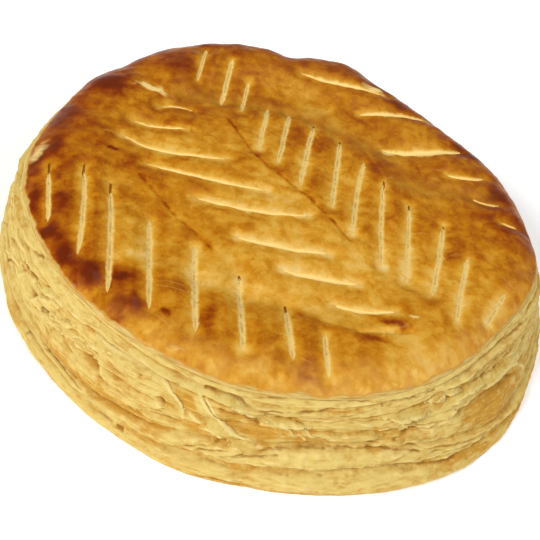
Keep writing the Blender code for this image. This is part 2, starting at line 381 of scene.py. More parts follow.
def crust_height(x, y):
    """Height of the crust over the table, with all its relief."""
    share, angle = polar(x, y)
    height = top_height(np.minimum(share, 1.0), angle)
    height += MM * (doughs(x, y, *LUMPS) - sunk(x, y, CREASES + VALLEYS))
    # The glaze blistered along the rim, and most at the near left.
    blistered = np.clip((share - BLISTER_FROM) / 0.06, 0, 1) * (0.4 + bell(turned(angle, -125), 35))
    blisters = np.clip(dough(x, y, 3.0, 21), 0, 1) + 0.6 * np.clip(dough(x, y, 1.6, 22), 0, 1)
    height += BLISTER_HEIGHT * blisters * blistered
    u, v = scored(x, y)
    height += MM * sum(tall * bell(np.hypot(u - a, v - b), wide) for a, b, wide, tall in BUBBLES)
    distance, openness, kind = nearest_cut(x, y)
    height -= STRIP_SWELL * bell(distance, STRIP_FADE)
    depth = CUT_DEPTH * np.select([kind == WORN, kind == SLIT, kind == WRINKLE], [0.25, 0.35, -0.05], 1.0)
    groove = depth * np.clip(1 - openness**2, 0, 1) ** 0.7
    tip = TIP_DEPTH * (kind <= 0) * np.clip(1 - openness / 0.3, 0, 1) * (dough(x, y, 6, 15) > 0.15)
    lip = LIP_HEIGHT * bell((openness - 1.25) * CUT_HALF_WIDTH, LIP_WIDTH)
    return height - groove - tip + lip * np.select([kind == CRISP, kind == WRINKLE], [1.0, 0.0], 0.3)


across_middle = crust_height(np.array([-60.0, 0.0, 60.0]) * MM, np.zeros(3))
print("crust at left, middle and right:", (across_middle / MM).round(1), "mm high")

# %% [markdown]
# ## The crust's mesh
#
# How should the top sheet be meshed? A plain grid would cut across the knife strokes and leave
# jagged grooves. Here points are laid the way the details run: an even honeycomb over the
# plain parts, rows of points beside every cut, and rings near the rim. A Delaunay
# triangulation joins them, which no edit-mode tool does. The rim is then extruded down and
# closed with ordinary edit-mode steps.

# %% Points of the crust
CRUMB = 0.95 * MM  # spacing of the plain honeycomb
ROW_STEP = 0.75 * MM
CUT_LANES = (0.0, 0.35, 0.75, 1.1, 1.5, 2.1)  # distances from a cut's middle, in mm
CLEAR_OF_CUT = 2.6 * MM
PAST_END = 0.6 * MM  # the rows run on this far past the ends of a cut
RING_SHARES = (0.928, 0.941, 0.953, 0.964, 0.974, 0.983, 0.991)
RING_COUNT = 960
EDGE_FROM = 0.985  # beyond this share of the rim's radius lies its edge


def honeycomb():
    rows = np.arange(-RIM_RADIUS * 1.1, RIM_RADIUS * 1.1, CRUMB * cos(pi / 6))
    places = []
    for number, y in enumerate(rows):
        x = np.arange(-RIM_RADIUS * 1.1, RIM_RADIUS * 1.1, CRUMB) + (number % 2) * CRUMB / 2
        places.append(np.stack([x, np.full(len(x), y)], axis=1))
    places = np.concatenate(places)
    places += np.random.default_rng(3).uniform(-0.08, 0.08, places.shape) * CRUMB + TOP_SLIDE
    share, _ = polar(*places.T)
    return places[share < RING_SHARES[0] - 0.006]


def ring(share, shift=0.0):
    turn = (np.arange(RING_COUNT) + shift) * tau / RING_COUNT
    reach = rim_radius(np.degrees(turn)) * share
    return np.stack([reach * np.cos(turn), reach * np.sin(turn)], axis=1) + TOP_SLIDE


def cut_rows():
    places = []
    for cut in CUTS:
        steps = int(cut.length / ROW_STEP)
        for lane in CUT_LANES[: 3 if cut.kind == WRINKLE else None]:
            shift = 0.5 if int(lane * 20) % 2 else 0.0
            reach = (np.arange(-2, steps + 3) + shift) / steps
            kept = reach[np.abs(reach - 0.5) < 0.5 + PAST_END / cut.length]
            for side in (-1, 1) if lane else (1,):
                places.append(cut.point(kept, np.full(len(kept), side * lane * MM)))
    return np.concatenate(places)


plain = np.concatenate([honeycomb(), *(ring(share, 0.5 * (n % 2)) for n, share in enumerate(RING_SHARES))])
apart, openness, _ = nearest_cut(*plain.T)
plain = plain[(apart > CLEAR_OF_CUT) & (openness > 4.0)]
rows = cut_rows()
rows = rows[polar(*rows.T)[0] < EDGE_FROM]
border = ring(1.0)
print("crust points:", len(border), "on the border,", len(plain), "plain,", len(rows), "beside cuts")

# %% [markdown]
# ## A few handy steps
#
# The same steps come again and again: pick up one piece, read or move its points, store a
# number at each point for its finish to read, and close a mesh with its faces outwards.

# %% Handy steps


def deselect():
    if bpy.context.object and bpy.context.object.mode != "OBJECT":
        bpy.ops.object.mode_set(mode="OBJECT")
    bpy.ops.object.select_all(action="DESELECT")


def take_up(piece):
    """Makes a piece the only selected and active object."""
    deselect()
    piece.select_set(True)
    bpy.context.view_layer.objects.active = piece


def linked(name, data):
    """A new object in the scene that holds this data."""
    thing = bpy.data.objects.new(name, data)
    bpy.context.scene.collection.objects.link(thing)
    return thing


def grid_piece(name, columns, rows, size=1):
    """A grid primitive with so many faces each way."""
    deselect()
    bpy.ops.mesh.primitive_grid_add(x_subdivisions=columns, y_subdivisions=rows, size=size)
    piece = bpy.context.object
    piece.name = piece.data.name = name
    return piece


def points_of(piece):
    flat = np.empty(3 * len(piece.data.vertices))
    piece.data.vertices.foreach_get("co", flat)
    return flat.reshape(-1, 3)


def move_points(piece, points):
    piece.data.vertices.foreach_set("co", points.ravel())
    piece.data.update()


def note(piece, **values):
    """Stores numbers for each point of a piece, under their names."""
    for name, numbers in values.items():
        layer = piece.data.attributes.new(name, "FLOAT", "POINT")
        layer.data.foreach_set("value", np.asarray(numbers, dtype=np.float32).ravel())


def face_outwards(piece, merged_within=0.0):
    """Merges points that meet, turns the faces outwards and smooths the shading."""
    take_up(piece)
    bpy.ops.object.mode_set(mode="EDIT")
    bpy.ops.mesh.select_all(action="SELECT")
    if merged_within:
        bpy.ops.mesh.remove_doubles(threshold=merged_within)
    bpy.ops.mesh.normals_make_consistent(inside=False)
    bpy.ops.object.mode_set(mode="OBJECT")
    bpy.ops.object.shade_smooth()
    print(piece.name, len(piece.data.polygons), "faces")


# %% Crust, joined, raised, its edge turned down
# How far each step of the edge spreads, as a share, and drops.
EDGE_STEPS = ((1.002, 0.5 * MM), (1.003, 0.6 * MM), (1.001, 0.6 * MM), (0.992, 0.5 * MM), (0.96, 0.2 * MM))
CRUST_FLOOR = 9 * MM  # how far under the top's level the crust is closed

places = [Vector(place) for place in np.concatenate([border, plain, rows])]
flat, _, triangles, *_ = delaunay_2d_cdt(places, [], [list(range(RING_COUNT))], 1, 1e-7)
flat = np.array([tuple(point) for point in flat])
mesh = bpy.data.meshes.new("browned_crust")
mesh.from_pydata(np.column_stack([flat, crust_height(*flat.T)]).tolist(), [], triangles)
crust = linked("browned_crust", mesh)
take_up(crust)
bpy.ops.object.mode_set(mode="EDIT")
bpy.ops.mesh.select_mode(type="EDGE")
bpy.ops.mesh.select_all(action="DESELECT")
bpy.ops.mesh.select_non_manifold()
for spread, drop in EDGE_STEPS:
    bpy.ops.mesh.extrude_region_move(TRANSFORM_OT_translate={"value": (0, 0, -drop)})
    bpy.ops.transform.resize(value=(spread, spread, 1), center_override=(*TOP_SLIDE, 0))
bpy.ops.transform.resize(value=(1, 1, 0), center_override=(0, 0, TOP_LEVEL - CRUST_FLOOR))
bpy.ops.mesh.edge_face_add()
face_outwards(crust)

# %% [markdown]
# ## Where the crust browned
#
# The oven browns what stands up and what lies near the rim, and leaves hollows gold. So the
# browning is worked out from the same places: rim, roll, strips, and a few darker and lighter
# patches where the glaze pooled or missed. Each point stores one number, 0 for bare pastry
# and 1 for nearly burnt, and the material turns it into colour. The same number also carries
# painted shade: in the far valleys, beside each cut, and over the outer part away from the front.

# %% Patches
# Each patch: x, y, half width, half height and how much browner, all in per cent.
BROWN_PATCHES = (
    (-84, 33, 8, 8, 45), (-95, 6, 5, 13, 35), (-90.5, -17, 3, 7, 34), (-77, -46, 3.4, 7, 32),
    (-86, -45.5, 2.6, 8, 27), (-94.5, -28, 3, 8, 30), (-74, -60.5, 4.6, 3.8, 42), (-65, -68, 4.6, 4.2, 42),
    (-55, -73.5, 6, 4.4, 48), (-45.5, -72.5, 2.8, 5.5, 40), (-37, -81.5, 8.5, 3.4, 36), (-26, -81, 1.3, 1.2, 40),
    (-13, -78.5, 3, 6, 42), (-83.5, -31, 2.5, 6, 22), (-70, -40, 2.2, 12, 20), (39, 81, 6, 3.5, 42),
    (72, 60.5, 5, 3, 50), (87.5, 35, 4.5, 5, 50), (97, 18, 4, 5, 30), (-62, 60, 12, 14, 20), (-45, 86, 20, 7, 16),
    (10, 93, 25, 5, 16), (2, 36, 34, 9, 14), (40, 25, 14, 12, 10), (82, 8, 16, 22, 10), (-85, 0, 14, 16, 12),
    (-60, -17, 18, 7, 12), (50, -56.5, 7, 1.8, 50), (22, -66, 32, 5, 10), (44, -66.5, 5, 1.8, 30),
    (-45, 33, 28, 10, 6), (15.5, -65.5, 1.6, 1.4, 45), (25, -90, 3, 1.2, 36), (-70, -8, 1.4, 1, 80),
    (-54, -42, 2.2, 16, 16), (60, -42, 9, 6, 10), (-42, -70, 8, 3.5, 22), (-27, -69, 7, 4.5, 15),
    (-41, -87, 6, 2.5, 22),
)
GOLD_PATCHES = (
    (15, -42, 42, 20, 16), (-44, -60, 5, 5, 30), (-52, -44, 5, 7, 22), (45, -22, 28, 14, 12), (-50, 2, 14, 7, 16),
    (-8, -10, 26, 12, 14), (-5, 68, 22, 10, 12), (66, -68, 16, 10, 16), (88, -45, 8, 14, 12), (-20, -60, 14, 5, 16),
    (-15, 25, 16, 10, 6), (-70, -35, 3, 10, 12), (-55, -45, 4, 12, 14),
)
BARE_PATCHES = (
    (-72, 38.5, 4.8, 2.8, 75), (-65.5, 38.5, 6, 2, 65), (25, 87.5, 6, 3.5, 90), (38, 46.5, 5, 2, 70),
    (-95.5, -21, 4, 8, 66), (60, 36, 3, 2, 40), (-12, -20.5, 2.5, 1.5, 60), (56.5, -52, 1.6, 1.6, 80),
    (51, 52, 3.5, 3, 70), (36, 72, 6, 1.2, 50), (80, -50, 2, 6, 35), (-20, -93, 10, 1.2, 40),
)
PLAIN_BROWN = 0.41
RIM_BROWN, RIM_BROWN_FROM = 0.14, 0.84


def patches(x, y, listed):
    """The sum of soft oval patches, their edges broken up by noise."""
    u, v = scored(x, y)
    u, v = u + doughs(x, y, (6, 1.8, 31), (2.2, 0.8, 33)), v + doughs(x, y, (6, 1.8, 32), (2.2, 0.8, 34))
    return sum(amount / 100 * np.exp(-(((u - a) / wide) ** 2) - ((v - b) / tall) ** 2)
               for a, b, wide, tall, amount in listed)


print(len(BROWN_PATCHES), "brown patches,", len(GOLD_PATCHES), "golden and", len(BARE_PATCHES), "bare")

# %% Browning of the crust


def climb(value, start, length):
    """0 up to the start, then a straight climb to 1 over the length."""
    return np.clip((value - start) / length, 0, 1)


x, y, z = points_of(crust).T
share, angle = polar(x, y)
distance, openness, kind = nearest_cut(x, y)
rim_height = top_height(1.0, angle)
front_edge = climb(-y / RIM_RADIUS, -0.15, 0.5) * (1 - bell(turned(angle, -150), 30))
brown = PLAIN_BROWN + patches(x, y, BROWN_PATCHES) - patches(x, y, GOLD_PATCHES)
# Painted shade: the outer part of the top, away from the front, is made browner where the light falls off.
# The rim browned most, but not at the front.
brown += (0.09 * climb(share, 0.35, 0.5) + RIM_BROWN * climb(share, RIM_BROWN_FROM, 0.1)) * (1 - front_edge)
brown += front_edge * climb(share, 0.87, 0.09) * (doughs(x, y, (5, 0.08, 47), (2.4, 0.09, 52)) - 0.06)
brown += 0.10 * bell(distance - 4.4 * MM, 2.4 * MM) - 0.05 * bell(distance, 2.0 * MM)
spines = sunk(x, y, [(*run, 1.0, 0.65) for *run, _, _ in SPINES])
brown += 0.28 * spines * np.clip(0.9 + dough(x, y, 4, 51), 0.3, 1.3)
shaded = 0.0  # painted shade: the strip beside each cut, on the side away from the light, is made browner
for cut in CUTS:
    if cut.kind in (CRISP, WORN):
        reach, aside, _ = cut.measure(x, y)
        past = aside + 2.4 * MM if cut.kind == CRISP else aside - 3.2 * MM
        shaded = shaded + bell(past, 1.5 * MM) * np.clip(6 * reach, 0, 1) * np.clip(6 - 6 * reach, 0, 1)
brown += 0.13 * shaded * np.clip(0.8 + 1.2 * dough(x, y, 6, 48), 0, 1.6)
brown += (1 - 0.4 * front_edge) * doughs(x, y, (15, 0.10, 41), (7, 0.07, 42), (3.6, 0.049, 46))
brown += 0.03 * dough(x, y, 1.8, 43)
# Painted shade and greyish sheen: the far valleys, and less the far side, are made browner and tinted grey-brown.
far_side = bell(turned(angle, 85), 55) * climb(share, 0.45, 0.2)
valley = np.clip(sunk(x, y, [(*run, 1.0, 1.15 * half) for *run, _, half in FAR_VALLEYS]) + 0.35 * far_side, 0, 1)
stands_up = crust_height(x, y) - top_height(np.minimum(share, 1), angle)
brown += 0.10 * valley + 0.16 * np.clip(stands_up, -MM, MM) / MM
rim_line = 0.990 + doughs(x, y, (8, 0.006, 44), (2.5, 0.004, 45))
below_top = climb(rim_height - z, 0.4 * MM, 0.8 * MM) * (share > EDGE_FROM)
pale_border = front_edge * (1 - bell(turned(angle, -132), 26)) * climb(share, 0.88, 0.08)
note(crust, brown=brown, valley=valley, openness=openness, kind=kind,
     leaf=((share - 1) * RIM_RADIUS + rim_height - z) / MM,
     border=pale_border * np.clip(0.7 + 0.9 * dough(x, y, 6, 50), 0, 1.2),
     bare=np.clip(patches(x, y, BARE_PATCHES), 0, 1),
     rim_fade=np.maximum(climb(share, rim_line, 0.016), below_top))
print("browning from", round(float(brown.min()), 2), "to", round(float(brown.max()), 2))

# %% [markdown]
# ## The leafy side
#
# The side shows the edges of two sheets of puff pastry, each folded into dozens of leaves.
# Where the steam pushed the seam between the sheets up or down, the leaves fan out or crowd.
# Seven lines run round the side, from foot to rim, and the five between those two wander in
# waves of their own. Between two lines the layers swell, and at a line they part.

# %% Lines of the side
WALL_LINES = FOOT, LIP, SEAM, FOLD, SHELF, CRUST, RIM = 0.0, 0.16, 0.29, 0.55, 0.80, 0.90, 1.0
SEAM_MOVES = ((-72, 26, 0.26), (35, 30, 0.18), (118, 24, 0.12), (172, 34, 0.22), (-28, 20, -0.10), (-125, 24, -0.07),
              (75, 20, -0.07))
LINE_WAVES = (0, 3, 7, 5, 6, 4, 0)
LINE_WANDER = 0.018
LEAST_BAND = 0.085


def wall_level(plain_share, angle):
    """The height share that a leaf lies at, for its plain share of the side and the angle round it."""
    seam = np.maximum(SEAM + around(angle, SEAM_MOVES), 2 * LEAST_BAND)
    lip = np.maximum(seam * LIP / SEAM, LEAST_BAND)
    fold = seam + (SHELF - seam) * (FOLD - SEAM) / (SHELF - SEAM)
    lines = [line + LINE_WANDER * np.sin(np.radians(waves * angle) + waves)
             for line, waves in zip((FOOT, lip, seam, fold, SHELF, CRUST, RIM), LINE_WAVES)]
    return sum(np.clip((plain_share - low) / (high - low), 0, 1) * (over - below)
               for low, high, below, over in zip(WALL_LINES, WALL_LINES[1:], lines, lines[1:]))


seam = wall_level(SEAM, np.arange(360.0))
print("seam from", seam.min().round(2), "to", seam.max().round(2), "of the side's height")

# %% Swell of the side
SWELLS = (2.0 * MM, 1.6 * MM, 1.2 * MM, 0.6 * MM, 1.4 * MM, 0.8 * MM)
SWELL_WAVES, SWELL_TWIST, SWELL_CHANGE = 5, 11.0, 0.45
SPLITS = ((LIP, 1.0 * MM), (SEAM, 1.2 * MM), (FOLD, 0.9 * MM), (SHELF, 1.8 * MM), (CRUST, 0.6 * MM))
SPLIT_WIDTH = 0.016


def side_form(plain_share, angle):
    """How far the side stands out from its straight lean: bands that swell, and splits between them."""
    out = 0.0
    for low, high, swell in zip(WALL_LINES, WALL_LINES[1:], SWELLS):
        part = (plain_share - low) / (high - low)
        out = out + swell * np.sin(pi * np.clip(part, 0, 1)) * ((part > 0) & (part < 1))
    for line, deep in SPLITS:
        ragged = np.clip(0.9 + 0.9 * round_noise(angle, 40 * line, 13, 51), 0.1, 1.6)
        out = out - deep * ragged * bell(plain_share - line, SPLIT_WIDTH)
    return out * (1 + SWELL_CHANGE * np.sin(np.radians(SWELL_WAVES * angle) + SWELL_TWIST * plain_share))


def on_side(level, angle, out):
    """Places on the side, given the height share, the angle and the distance out from its straight lean."""
    rim, turn = rim_radius(angle) * 1.004, np.radians(angle)
    reach = rim + (foot_radius(angle) - rim) * (1 - level) + out
    return np.stack([reach * np.cos(turn) + TOP_SLIDE[0] * level, reach * np.sin(turn) + TOP_SLIDE[1] * level,
                     top_height(1.0, angle) * level], axis=-1)


print("foot at the front:", (on_side(0.0, -90.0, 0.0) / MM).round(1), "mm")

# %% [markdown]
# ## Leaves laid like tiles
#
# Up close the side is a patchwork of leaf ends: long thin patches, each with its own height,
# tilt and curled lip, lying over one another as tiles do. Modelling a thousand by hand
# would take days. Here the side is unrolled flat, and each leaf is laid over what is already
# there: inside its outline it replaces the height, so its edge makes a crisp step. The
# last leaves laid are the broad folds at the front, listed one by one.

# %% The unrolled side
ROUND_STEPS, BAND_STEPS = 1440, 60
BANDS = ("rim_leaves", "heart_leaves", "sole_leaves")
SIDE_RADIUS = 1.06 * RIM_RADIUS
SIDE_TOP, SIDE_BOTTOM = 0.955, 0.012
side_angle = turned(np.arange(ROUND_STEPS)[None, :] * 360 / ROUND_STEPS - 90, 0)  # its ends meet at the front
side_share = np.linspace(SIDE_TOP, SIDE_BOTTOM, len(BANDS) * BAND_STEPS + 1)[:, None]
side_level = wall_level(side_share, side_angle)
side_height = np.zeros(side_level.shape)
side_gold = np.full(side_level.shape, 0.3)
print("unrolled side:", side_level.shape, "places")


def plain_share_at(level, angle):
    """The plain share of the leaf that lies at this level at this angle."""
    shares = np.linspace(0, 1, 101)
    return np.interp(level, wall_level(shares, angle), shares)


def lay_leaf(angle, level, long, tall, turn, rise, lean, curl, dome, soft, gold, seed):
    """Lays a leaf of half size long by tall (mm), turned in degrees, over those already there.

    Its middle is at an angle and at a level in per cent of the height. It lies rise (mm) over
    the side's form, leans out by lean towards its upper edge, swells by dome in its middle,
    and its lip curls out by curl. Soft (mm) is the width of its step.
    """
    u = np.radians(turned(side_angle[0], angle)) * SIDE_RADIUS / MM
    w = (side_share[:, 0] - plain_share_at(level / 100, angle)) * TOP_LEVEL / MM
    c, s = cos(radians(turn)), sin(radians(turn))
    columns = np.flatnonzero(np.abs(u) < long * abs(c) + tall * abs(s) + 2)
    rows = np.flatnonzero(np.abs(w) < long * abs(s) + tall * abs(c) + 2)
    if not len(columns) or not len(rows):
        return
    u, w = u[None, columns], w[rows, None]
    along, across = u * c + w * s, w * c - u * s
    shake = 0.5 * soft_noise(along / 6 + seed, across / 6, 66) + 0.22 * soft_noise(along / 2 + seed, across / 2, 67)
    shake = shake * min(1.0, tall / 2)
    narrowed = tall * np.clip(1 - (along / long) ** 2, 0.02, 1) ** 0.8  # it runs out to a point at both ends
    edge = np.abs((across + shake * narrowed / tall) / narrowed)
    inside = (1 - edge) * narrowed
    cover = np.clip(inside / soft + 0.5, 0, 1)
    ripple = 0.18 * soft_noise(along / 4 + seed, across / 2.5, 68)
    swell = dome * np.clip(1 - edge**2, 0, 1)
    leaf = MM * (rise + lean * across / tall + swell + curl * np.exp(-np.maximum(inside, 0) / 0.8) + ripple)
    here = np.ix_(rows, columns)
    side_height[here] += cover * (leaf - side_height[here])
    side_gold[here] += 0.85 * cover * (gold - side_gold[here])


# %% Scattered leaves, and leaves listed one by one
# From here on a level is in per cent of the side's height.
# Each kind: how many, lowest and highest level, half length and half height in mm, rise, lean, curl.
LEAF_KINDS = (
    (130, 0, 100, (16, 42), (1.2, 3.4), 0.50, 0.45, 0.10), (70, 36, 84, (9, 22), (1.2, 3.0), 0.75, 0.80, 0.30),
    (420, 78, 102, (22, 60), (0.4, 0.8), 0.30, 0.12, 0.10), (170, 14, 34, (18, 46), (0.4, 0.9), 0.38, 0.20, 0.10),
    (70, 36, 84, (8, 20), (0.4, 1.0), 0.50, 0.30, 0.22), (50, 2, 16, (16, 36), (0.7, 1.6), 0.22, 0.20, 0.06),
)
# Each: angle, level, half length, half height, turn, rise, lean, curl, dome, soft, gold.
PLACED_LEAVES = (
    (-119, 34, 26, 4.6, 1, 0.2, 0.2, 0, 0.8, 3, 0.75), (-108, 55, 15, 4.5, -4, 0.3, 0.5, 0.2, 0.6, 1.5, 0.35),
    (-112, 68, 12, 3.2, 3, 0.5, 0.8, 0.4, 0.4, 0.6, 0.3), (-98, 62, 10, 5, -40, 0.2, 0.4, 0, 0.2, 2, 0.55),
    (-84, 60, 9, 2.4, -14, -0.8, 0.3, 0, 0.3, 1.5, 0.75), (-82, 78, 13, 1.8, -12, 1, -0.8, 0.4, 0.5, 0.5, 0.3),
    (-67, 63, 10, 2.2, 3, 0.9, 0.3, 0.3, 0.8, 1.2, 0.4), (-56, 76.5, 9, 1.6, -10, 0.9, -0.6, 0.4, 0.4, 0.5, 0.3),
    (-56.5, 66, 5.5, 1.6, 12, 0.6, -0.2, 0.4, 0.4, 0.5, 0.35), (-47, 81, 8, 1.5, 0, 0.9, -0.6, 0.4, 0.4, 0.5, 0.25),
    (-50, 63, 11, 1.8, 8, 0.9, -0.5, 0.4, 0.5, 0.6, 0.35), (-39, 72, 13, 1.4, 4, 0.7, -0.3, 0.3, 0.4, 0.6, 0.3),
    (-70, 42.5, 26, 2.4, 1, 0.6, 0.1, 0, 0.8, 1.5, 0.25), (-68, 13, 42, 2.8, 0, 0.4, 0.1, 0.1, 0.6, 0.6, 0.3),
    (-34, 40, 19, 5, -6, -0.7, -0.3, 0, 0.6, 3, 0.95), (-30, 64, 22, 1.7, -6, 0.9, 0.2, 0.2, 0.5, 1.2, 0.3),
    (-146, 50, 9, 3, 34, 0.4, 0.6, 0.2, 0.4, 0.8, 0.6), (-139, 52, 9, 2.6, 36, 0.6, 0.6, 0.3, 0.4, 0.6, 0.5),
    (-131, 58, 10, 2.6, 30, 0.6, 0.6, 0.3, 0.4, 0.6, 0.4), (-125, 60, 8, 1.6, 30, 0.7, 0.4, 0.3, 0.3, 0.5, 0.35),
    (-135, 78, 17, 2.6, 10, 0.5, 0, 0.2, 0.6, 1, 0.25), (-124, 79, 11, 1.6, 8, 0.6, 0.4, 0.3, 0.3, 0.6, 0.3),
    (-148, 82, 16, 2.4, 8, 0.4, 0.2, 0.2, 0.5, 1, 0.35),
)

rng = np.random.default_rng(90)
for count, lowest, highest, longs, talls, rise, lean, curl in LEAF_KINDS:
    for _ in range(count):
        tall = rng.uniform(*talls)
        lay_leaf(rng.uniform(-180, 180), rng.uniform(lowest, highest), rng.uniform(*longs), tall, rng.normal(0, 4),
                 rng.normal(0, rise), rng.normal(0, lean), abs(rng.normal(0, curl)), 0.35 * tall * rng.uniform(-0.3, 1),
                 rng.uniform(0.5, 1.0) * (0.5 + 0.6 * tall), rng.uniform(0, 1) ** 1.5, rng.uniform(0, 60))
for number, leaf in enumerate(PLACED_LEAVES):
    lay_leaf(*leaf, 3.7 * number)
print("leaves from", (side_height.min() / MM).round(2), "to", (side_height.max() / MM).round(2), "mm high")

# %% [markdown]
# ## Splits, pockets, and painted shade
#
# Where leaves parted as they rose, narrow splits are left. They are cut along listed lines,
# after the leaves. Then the height itself tells where shade is painted: a place that lies under
# the average of its neighbours gets painted shade, darker and browner, and one over it a painted
# highlight, a pale lip. Storing this on the mesh gives painted shading that always agrees with
# the shape.

# %% Drawn splits and lips
# Each: its depth in mm (less than 0 for a raised lip), half width in mm, then the angle and level of
# each place along it.
DRAWN = (
    (0.6, 0.26, -94, 91, -86, 91.5, -78, 96, -71, 97.5, -61, 92, -50, 92),
    (0.7, 0.28, -94, 88.5, -89, 88.5, -84, 85, -78, 84.5, -68, 89.5, -56, 90, -49, 88.5),
    (0.5, 0.26, -83, 82, -75, 80, -70, 82.5, -61, 88), (1.6, 0.9, -90.5, 73.5, -87, 71.5, -84, 67),
    (1.2, 0.5, -56, 76, -52, 73.5), (1.3, 0.6, -57.5, 70, -52.5, 67),
    (1.2, 0.5, -49.5, 77.5, -47, 81, -45.5, 77.5, -42.5, 79, -41, 74.5), (1.3, 0.6, -59, 56, -55, 61, -52, 58),
    (0.8, 0.4, -44, 69, -39, 71),
    (0.7, 0.3, -94, 37, -90, 44, -86, 49.5, -78, 52.5, -72, 55, -66, 55.5, -60.5, 53, -57, 53),
    (0.7, 0.3, -94, 31, -89, 40, -84.5, 45, -75.5, 50, -68, 50.5, -62, 49, -56.5, 41, -51, 32, -46, 25, -38.5, 17,
     -26.5, 11),
    (0.6, 0.3, -94, 22, -90, 30.5, -85, 39.5, -80, 44),
    (0.6, 0.3, -57.5, 47, -52.5, 38, -48, 31, -42.5, 25, -33.5, 16), (1.9, 0.6, -79, 30, -77, 33),
    (1.9, 0.6, -74, 31, -71.5, 32, -70, 30), (1.8, 0.55, -68.5, 31, -66, 29, -64.5, 33, -62, 31, -60.5, 33),
    (0.9, 0.4, -60, 27.5, -54.5, 23, -49.5, 18, -46, 16.5), (0.7, 0.4, -94, 3.5, -89, 6, -86, 4),
    (0.6, 0.4, -64, 3, -55, 5, -48, 4, -40, 3), (0.9, 0.4, -29, 33, -28, 28),
    (0.5, 0.35, -42.5, 77.5, -38, 76, -33, 74.5, -24, 73), (0.5, 0.3, -50, 84, -40, 86, -30, 85, -20, 80),
    (0.5, 0.3, -45, 92, -35, 93, -25, 90, -15, 86), (1, 0.5, -141, 83, -136, 91.5),
    (0.9, 0.4, -134, 73, -129, 76, -120, 79.5, -111, 82, -103, 82.5, -98.5, 85), (1.5, 0.6, -117, 65.5, -115.5, 65),
    (1, 0.4, -119.5, 67, -118.5, 66), (1.1, 0.5, -132, 49, -128, 59, -122.5, 70),
    (1.3, 0.6, -146, 55, -140.5, 62, -135.5, 68.5), (1.3, 0.5, -149, 29, -145.5, 41),
    (0.8, 0.4, -134, 40, -129.5, 52, -124.5, 61), (0.9, 0.35, -100, 21.5, -96, 30.5, -91, 41, -86, 47),
    (0.8, 0.35, -98.5, 20, -93.5, 27.5, -86, 40), (0.6, 0.6, -133.5, 12.5, -126, 20, -119, 19, -113.5, 14, -107, 11),
    (0.9, 0.4, -108.3, 12.7, -107.2, 12.2), (1.3, 0.5, -87, 11.5, -85.6, 10.5),
    (0.7, 0.5, -160, 30, -150, 50, -140, 64), (0.6, 0.5, -165, 50, -155, 70, -147, 80),
    (-0.7, 0.4, -103, 80, -99.5, 74.5, -97.5, 62, -97, 55), (-0.6, 0.4, -97.5, 62, -93.5, 55, -90, 49),
    (-0.8, 0.4, -94.5, 85, -92.5, 74.5, -90.5, 62, -88, 55, -86, 52),
    (-0.6, 0.7, -51, 55, -43, 59.5, -37, 66, -31, 67, -25.5, 61, -22.5, 52, -20, 40),
    (-0.6, 0.4, -80, 76, -78, 70, -75.5, 58), (-0.6, 0.35, -78, 77, -76, 70, -74, 60),
    (-0.6, 0.4, -60.5, 79, -58, 75, -56, 74), (-0.6, 0.4, -62, 68, -58, 71, -54, 66),
)
# Pockets where a leaf fell back: angle, level, half width in degrees, half height, depth in mm, more golden.
POCKETS = (
    (-97, 70, 2.6, 10, 1.1, 0.9), (-88.5, 66, 3, 7, 1.1, 0.9), (-76, 66, 2, 7, 0.8, 0.6), (-55, 64, 3, 5, 0.8, 0.5),
    (-46, 78, 2.5, 3, 0.8, 0.6), (-33, 44, 8, 12, 0.5, 1), (-143, 58, 4, 5, 0.7, 0.5), (-121, 66, 3, 5, 0.6, 0.4),
    (-147, 33, 3, 8, 0.7, 0.5), (-120, 28, 9, 5, 0.2, 0.8), (-107, 37, 8, 5, 0.2, 0.9), (-93, 50, 4, 4, 0.3, 0.7),
    (-70, 38.5, 11, 4, 0.1, -0.8), (-72, 20, 16, 5, 0, -0.5), (-130, 90, 30, 5, 0, -0.7), (-60, 93, 30, 5, 0, -0.7),
    (-62, 66, 5, 5, 0.2, 0.5), (-118, 15, 14, 6, 0, -0.6), (40, 60, 7, 8, 0.8, 0.8), (95, 45, 8, 7, 0.7, 0.8),
    (140, 62, 6, 8, 0.8, 0.7), (12, 35, 7, 6, 0.5, 0.7), (175, 45, 6, 8, 0.7, 0.7), (65, 80, 9, 5, 0.4, -0.5),
    (120, 22, 12, 6, 0.1, -0.6), (20, 88, 16, 5, 0, -0.6), (-142, 45, 24, 28, 0, -0.5), (-64, 10, 26, 6, 0, 0.3),
    (-80, 72, 22, 10, 0, 0.25), (-84, 60, 5, 7, 0.3, 0.8), (-67, 74, 7, 5, 0, -0.7), (-47, 66, 6, 5, 0, -0.5),
    (-58, 61, 4, 4, 0.3, 0.6), (-74, 56, 6, 2, 0.2, 0.5), (-101, 68, 4, 10, 0, -0.5),
)
# Lumps over the whole side: waves round the pie, rows up it, height in mm, seed.
LUMPINESS = ((40, 5.0, 0.70, 61), (75, 10.0, 0.45, 62), (150, 12.0, 0.32, 63), (300, 18.0, 0.18, 64))
SPLIT_GAP, SPLIT_DEPTH, SPLIT_HALF = (0.8, 1.7), 0.42, 0.32  # spacing, depth and half width of the fine splits in mm
SPLIT_WANDER = ((0.5, 19, 52), (0.25, 71, 53))  # how far they wander in mm, in how many waves, and the seed
FAR_SPLITS = 70  # scattered over the arc that has none listed
print(len(DRAWN), "drawn lines and", len(POCKETS), "pockets")

# %% Cutting them, and averaging
drawn_shading = np.zeros(side_level.shape)  # 1 in a drawn split, for painted shade; -1 on a drawn lip, for a painted highlight
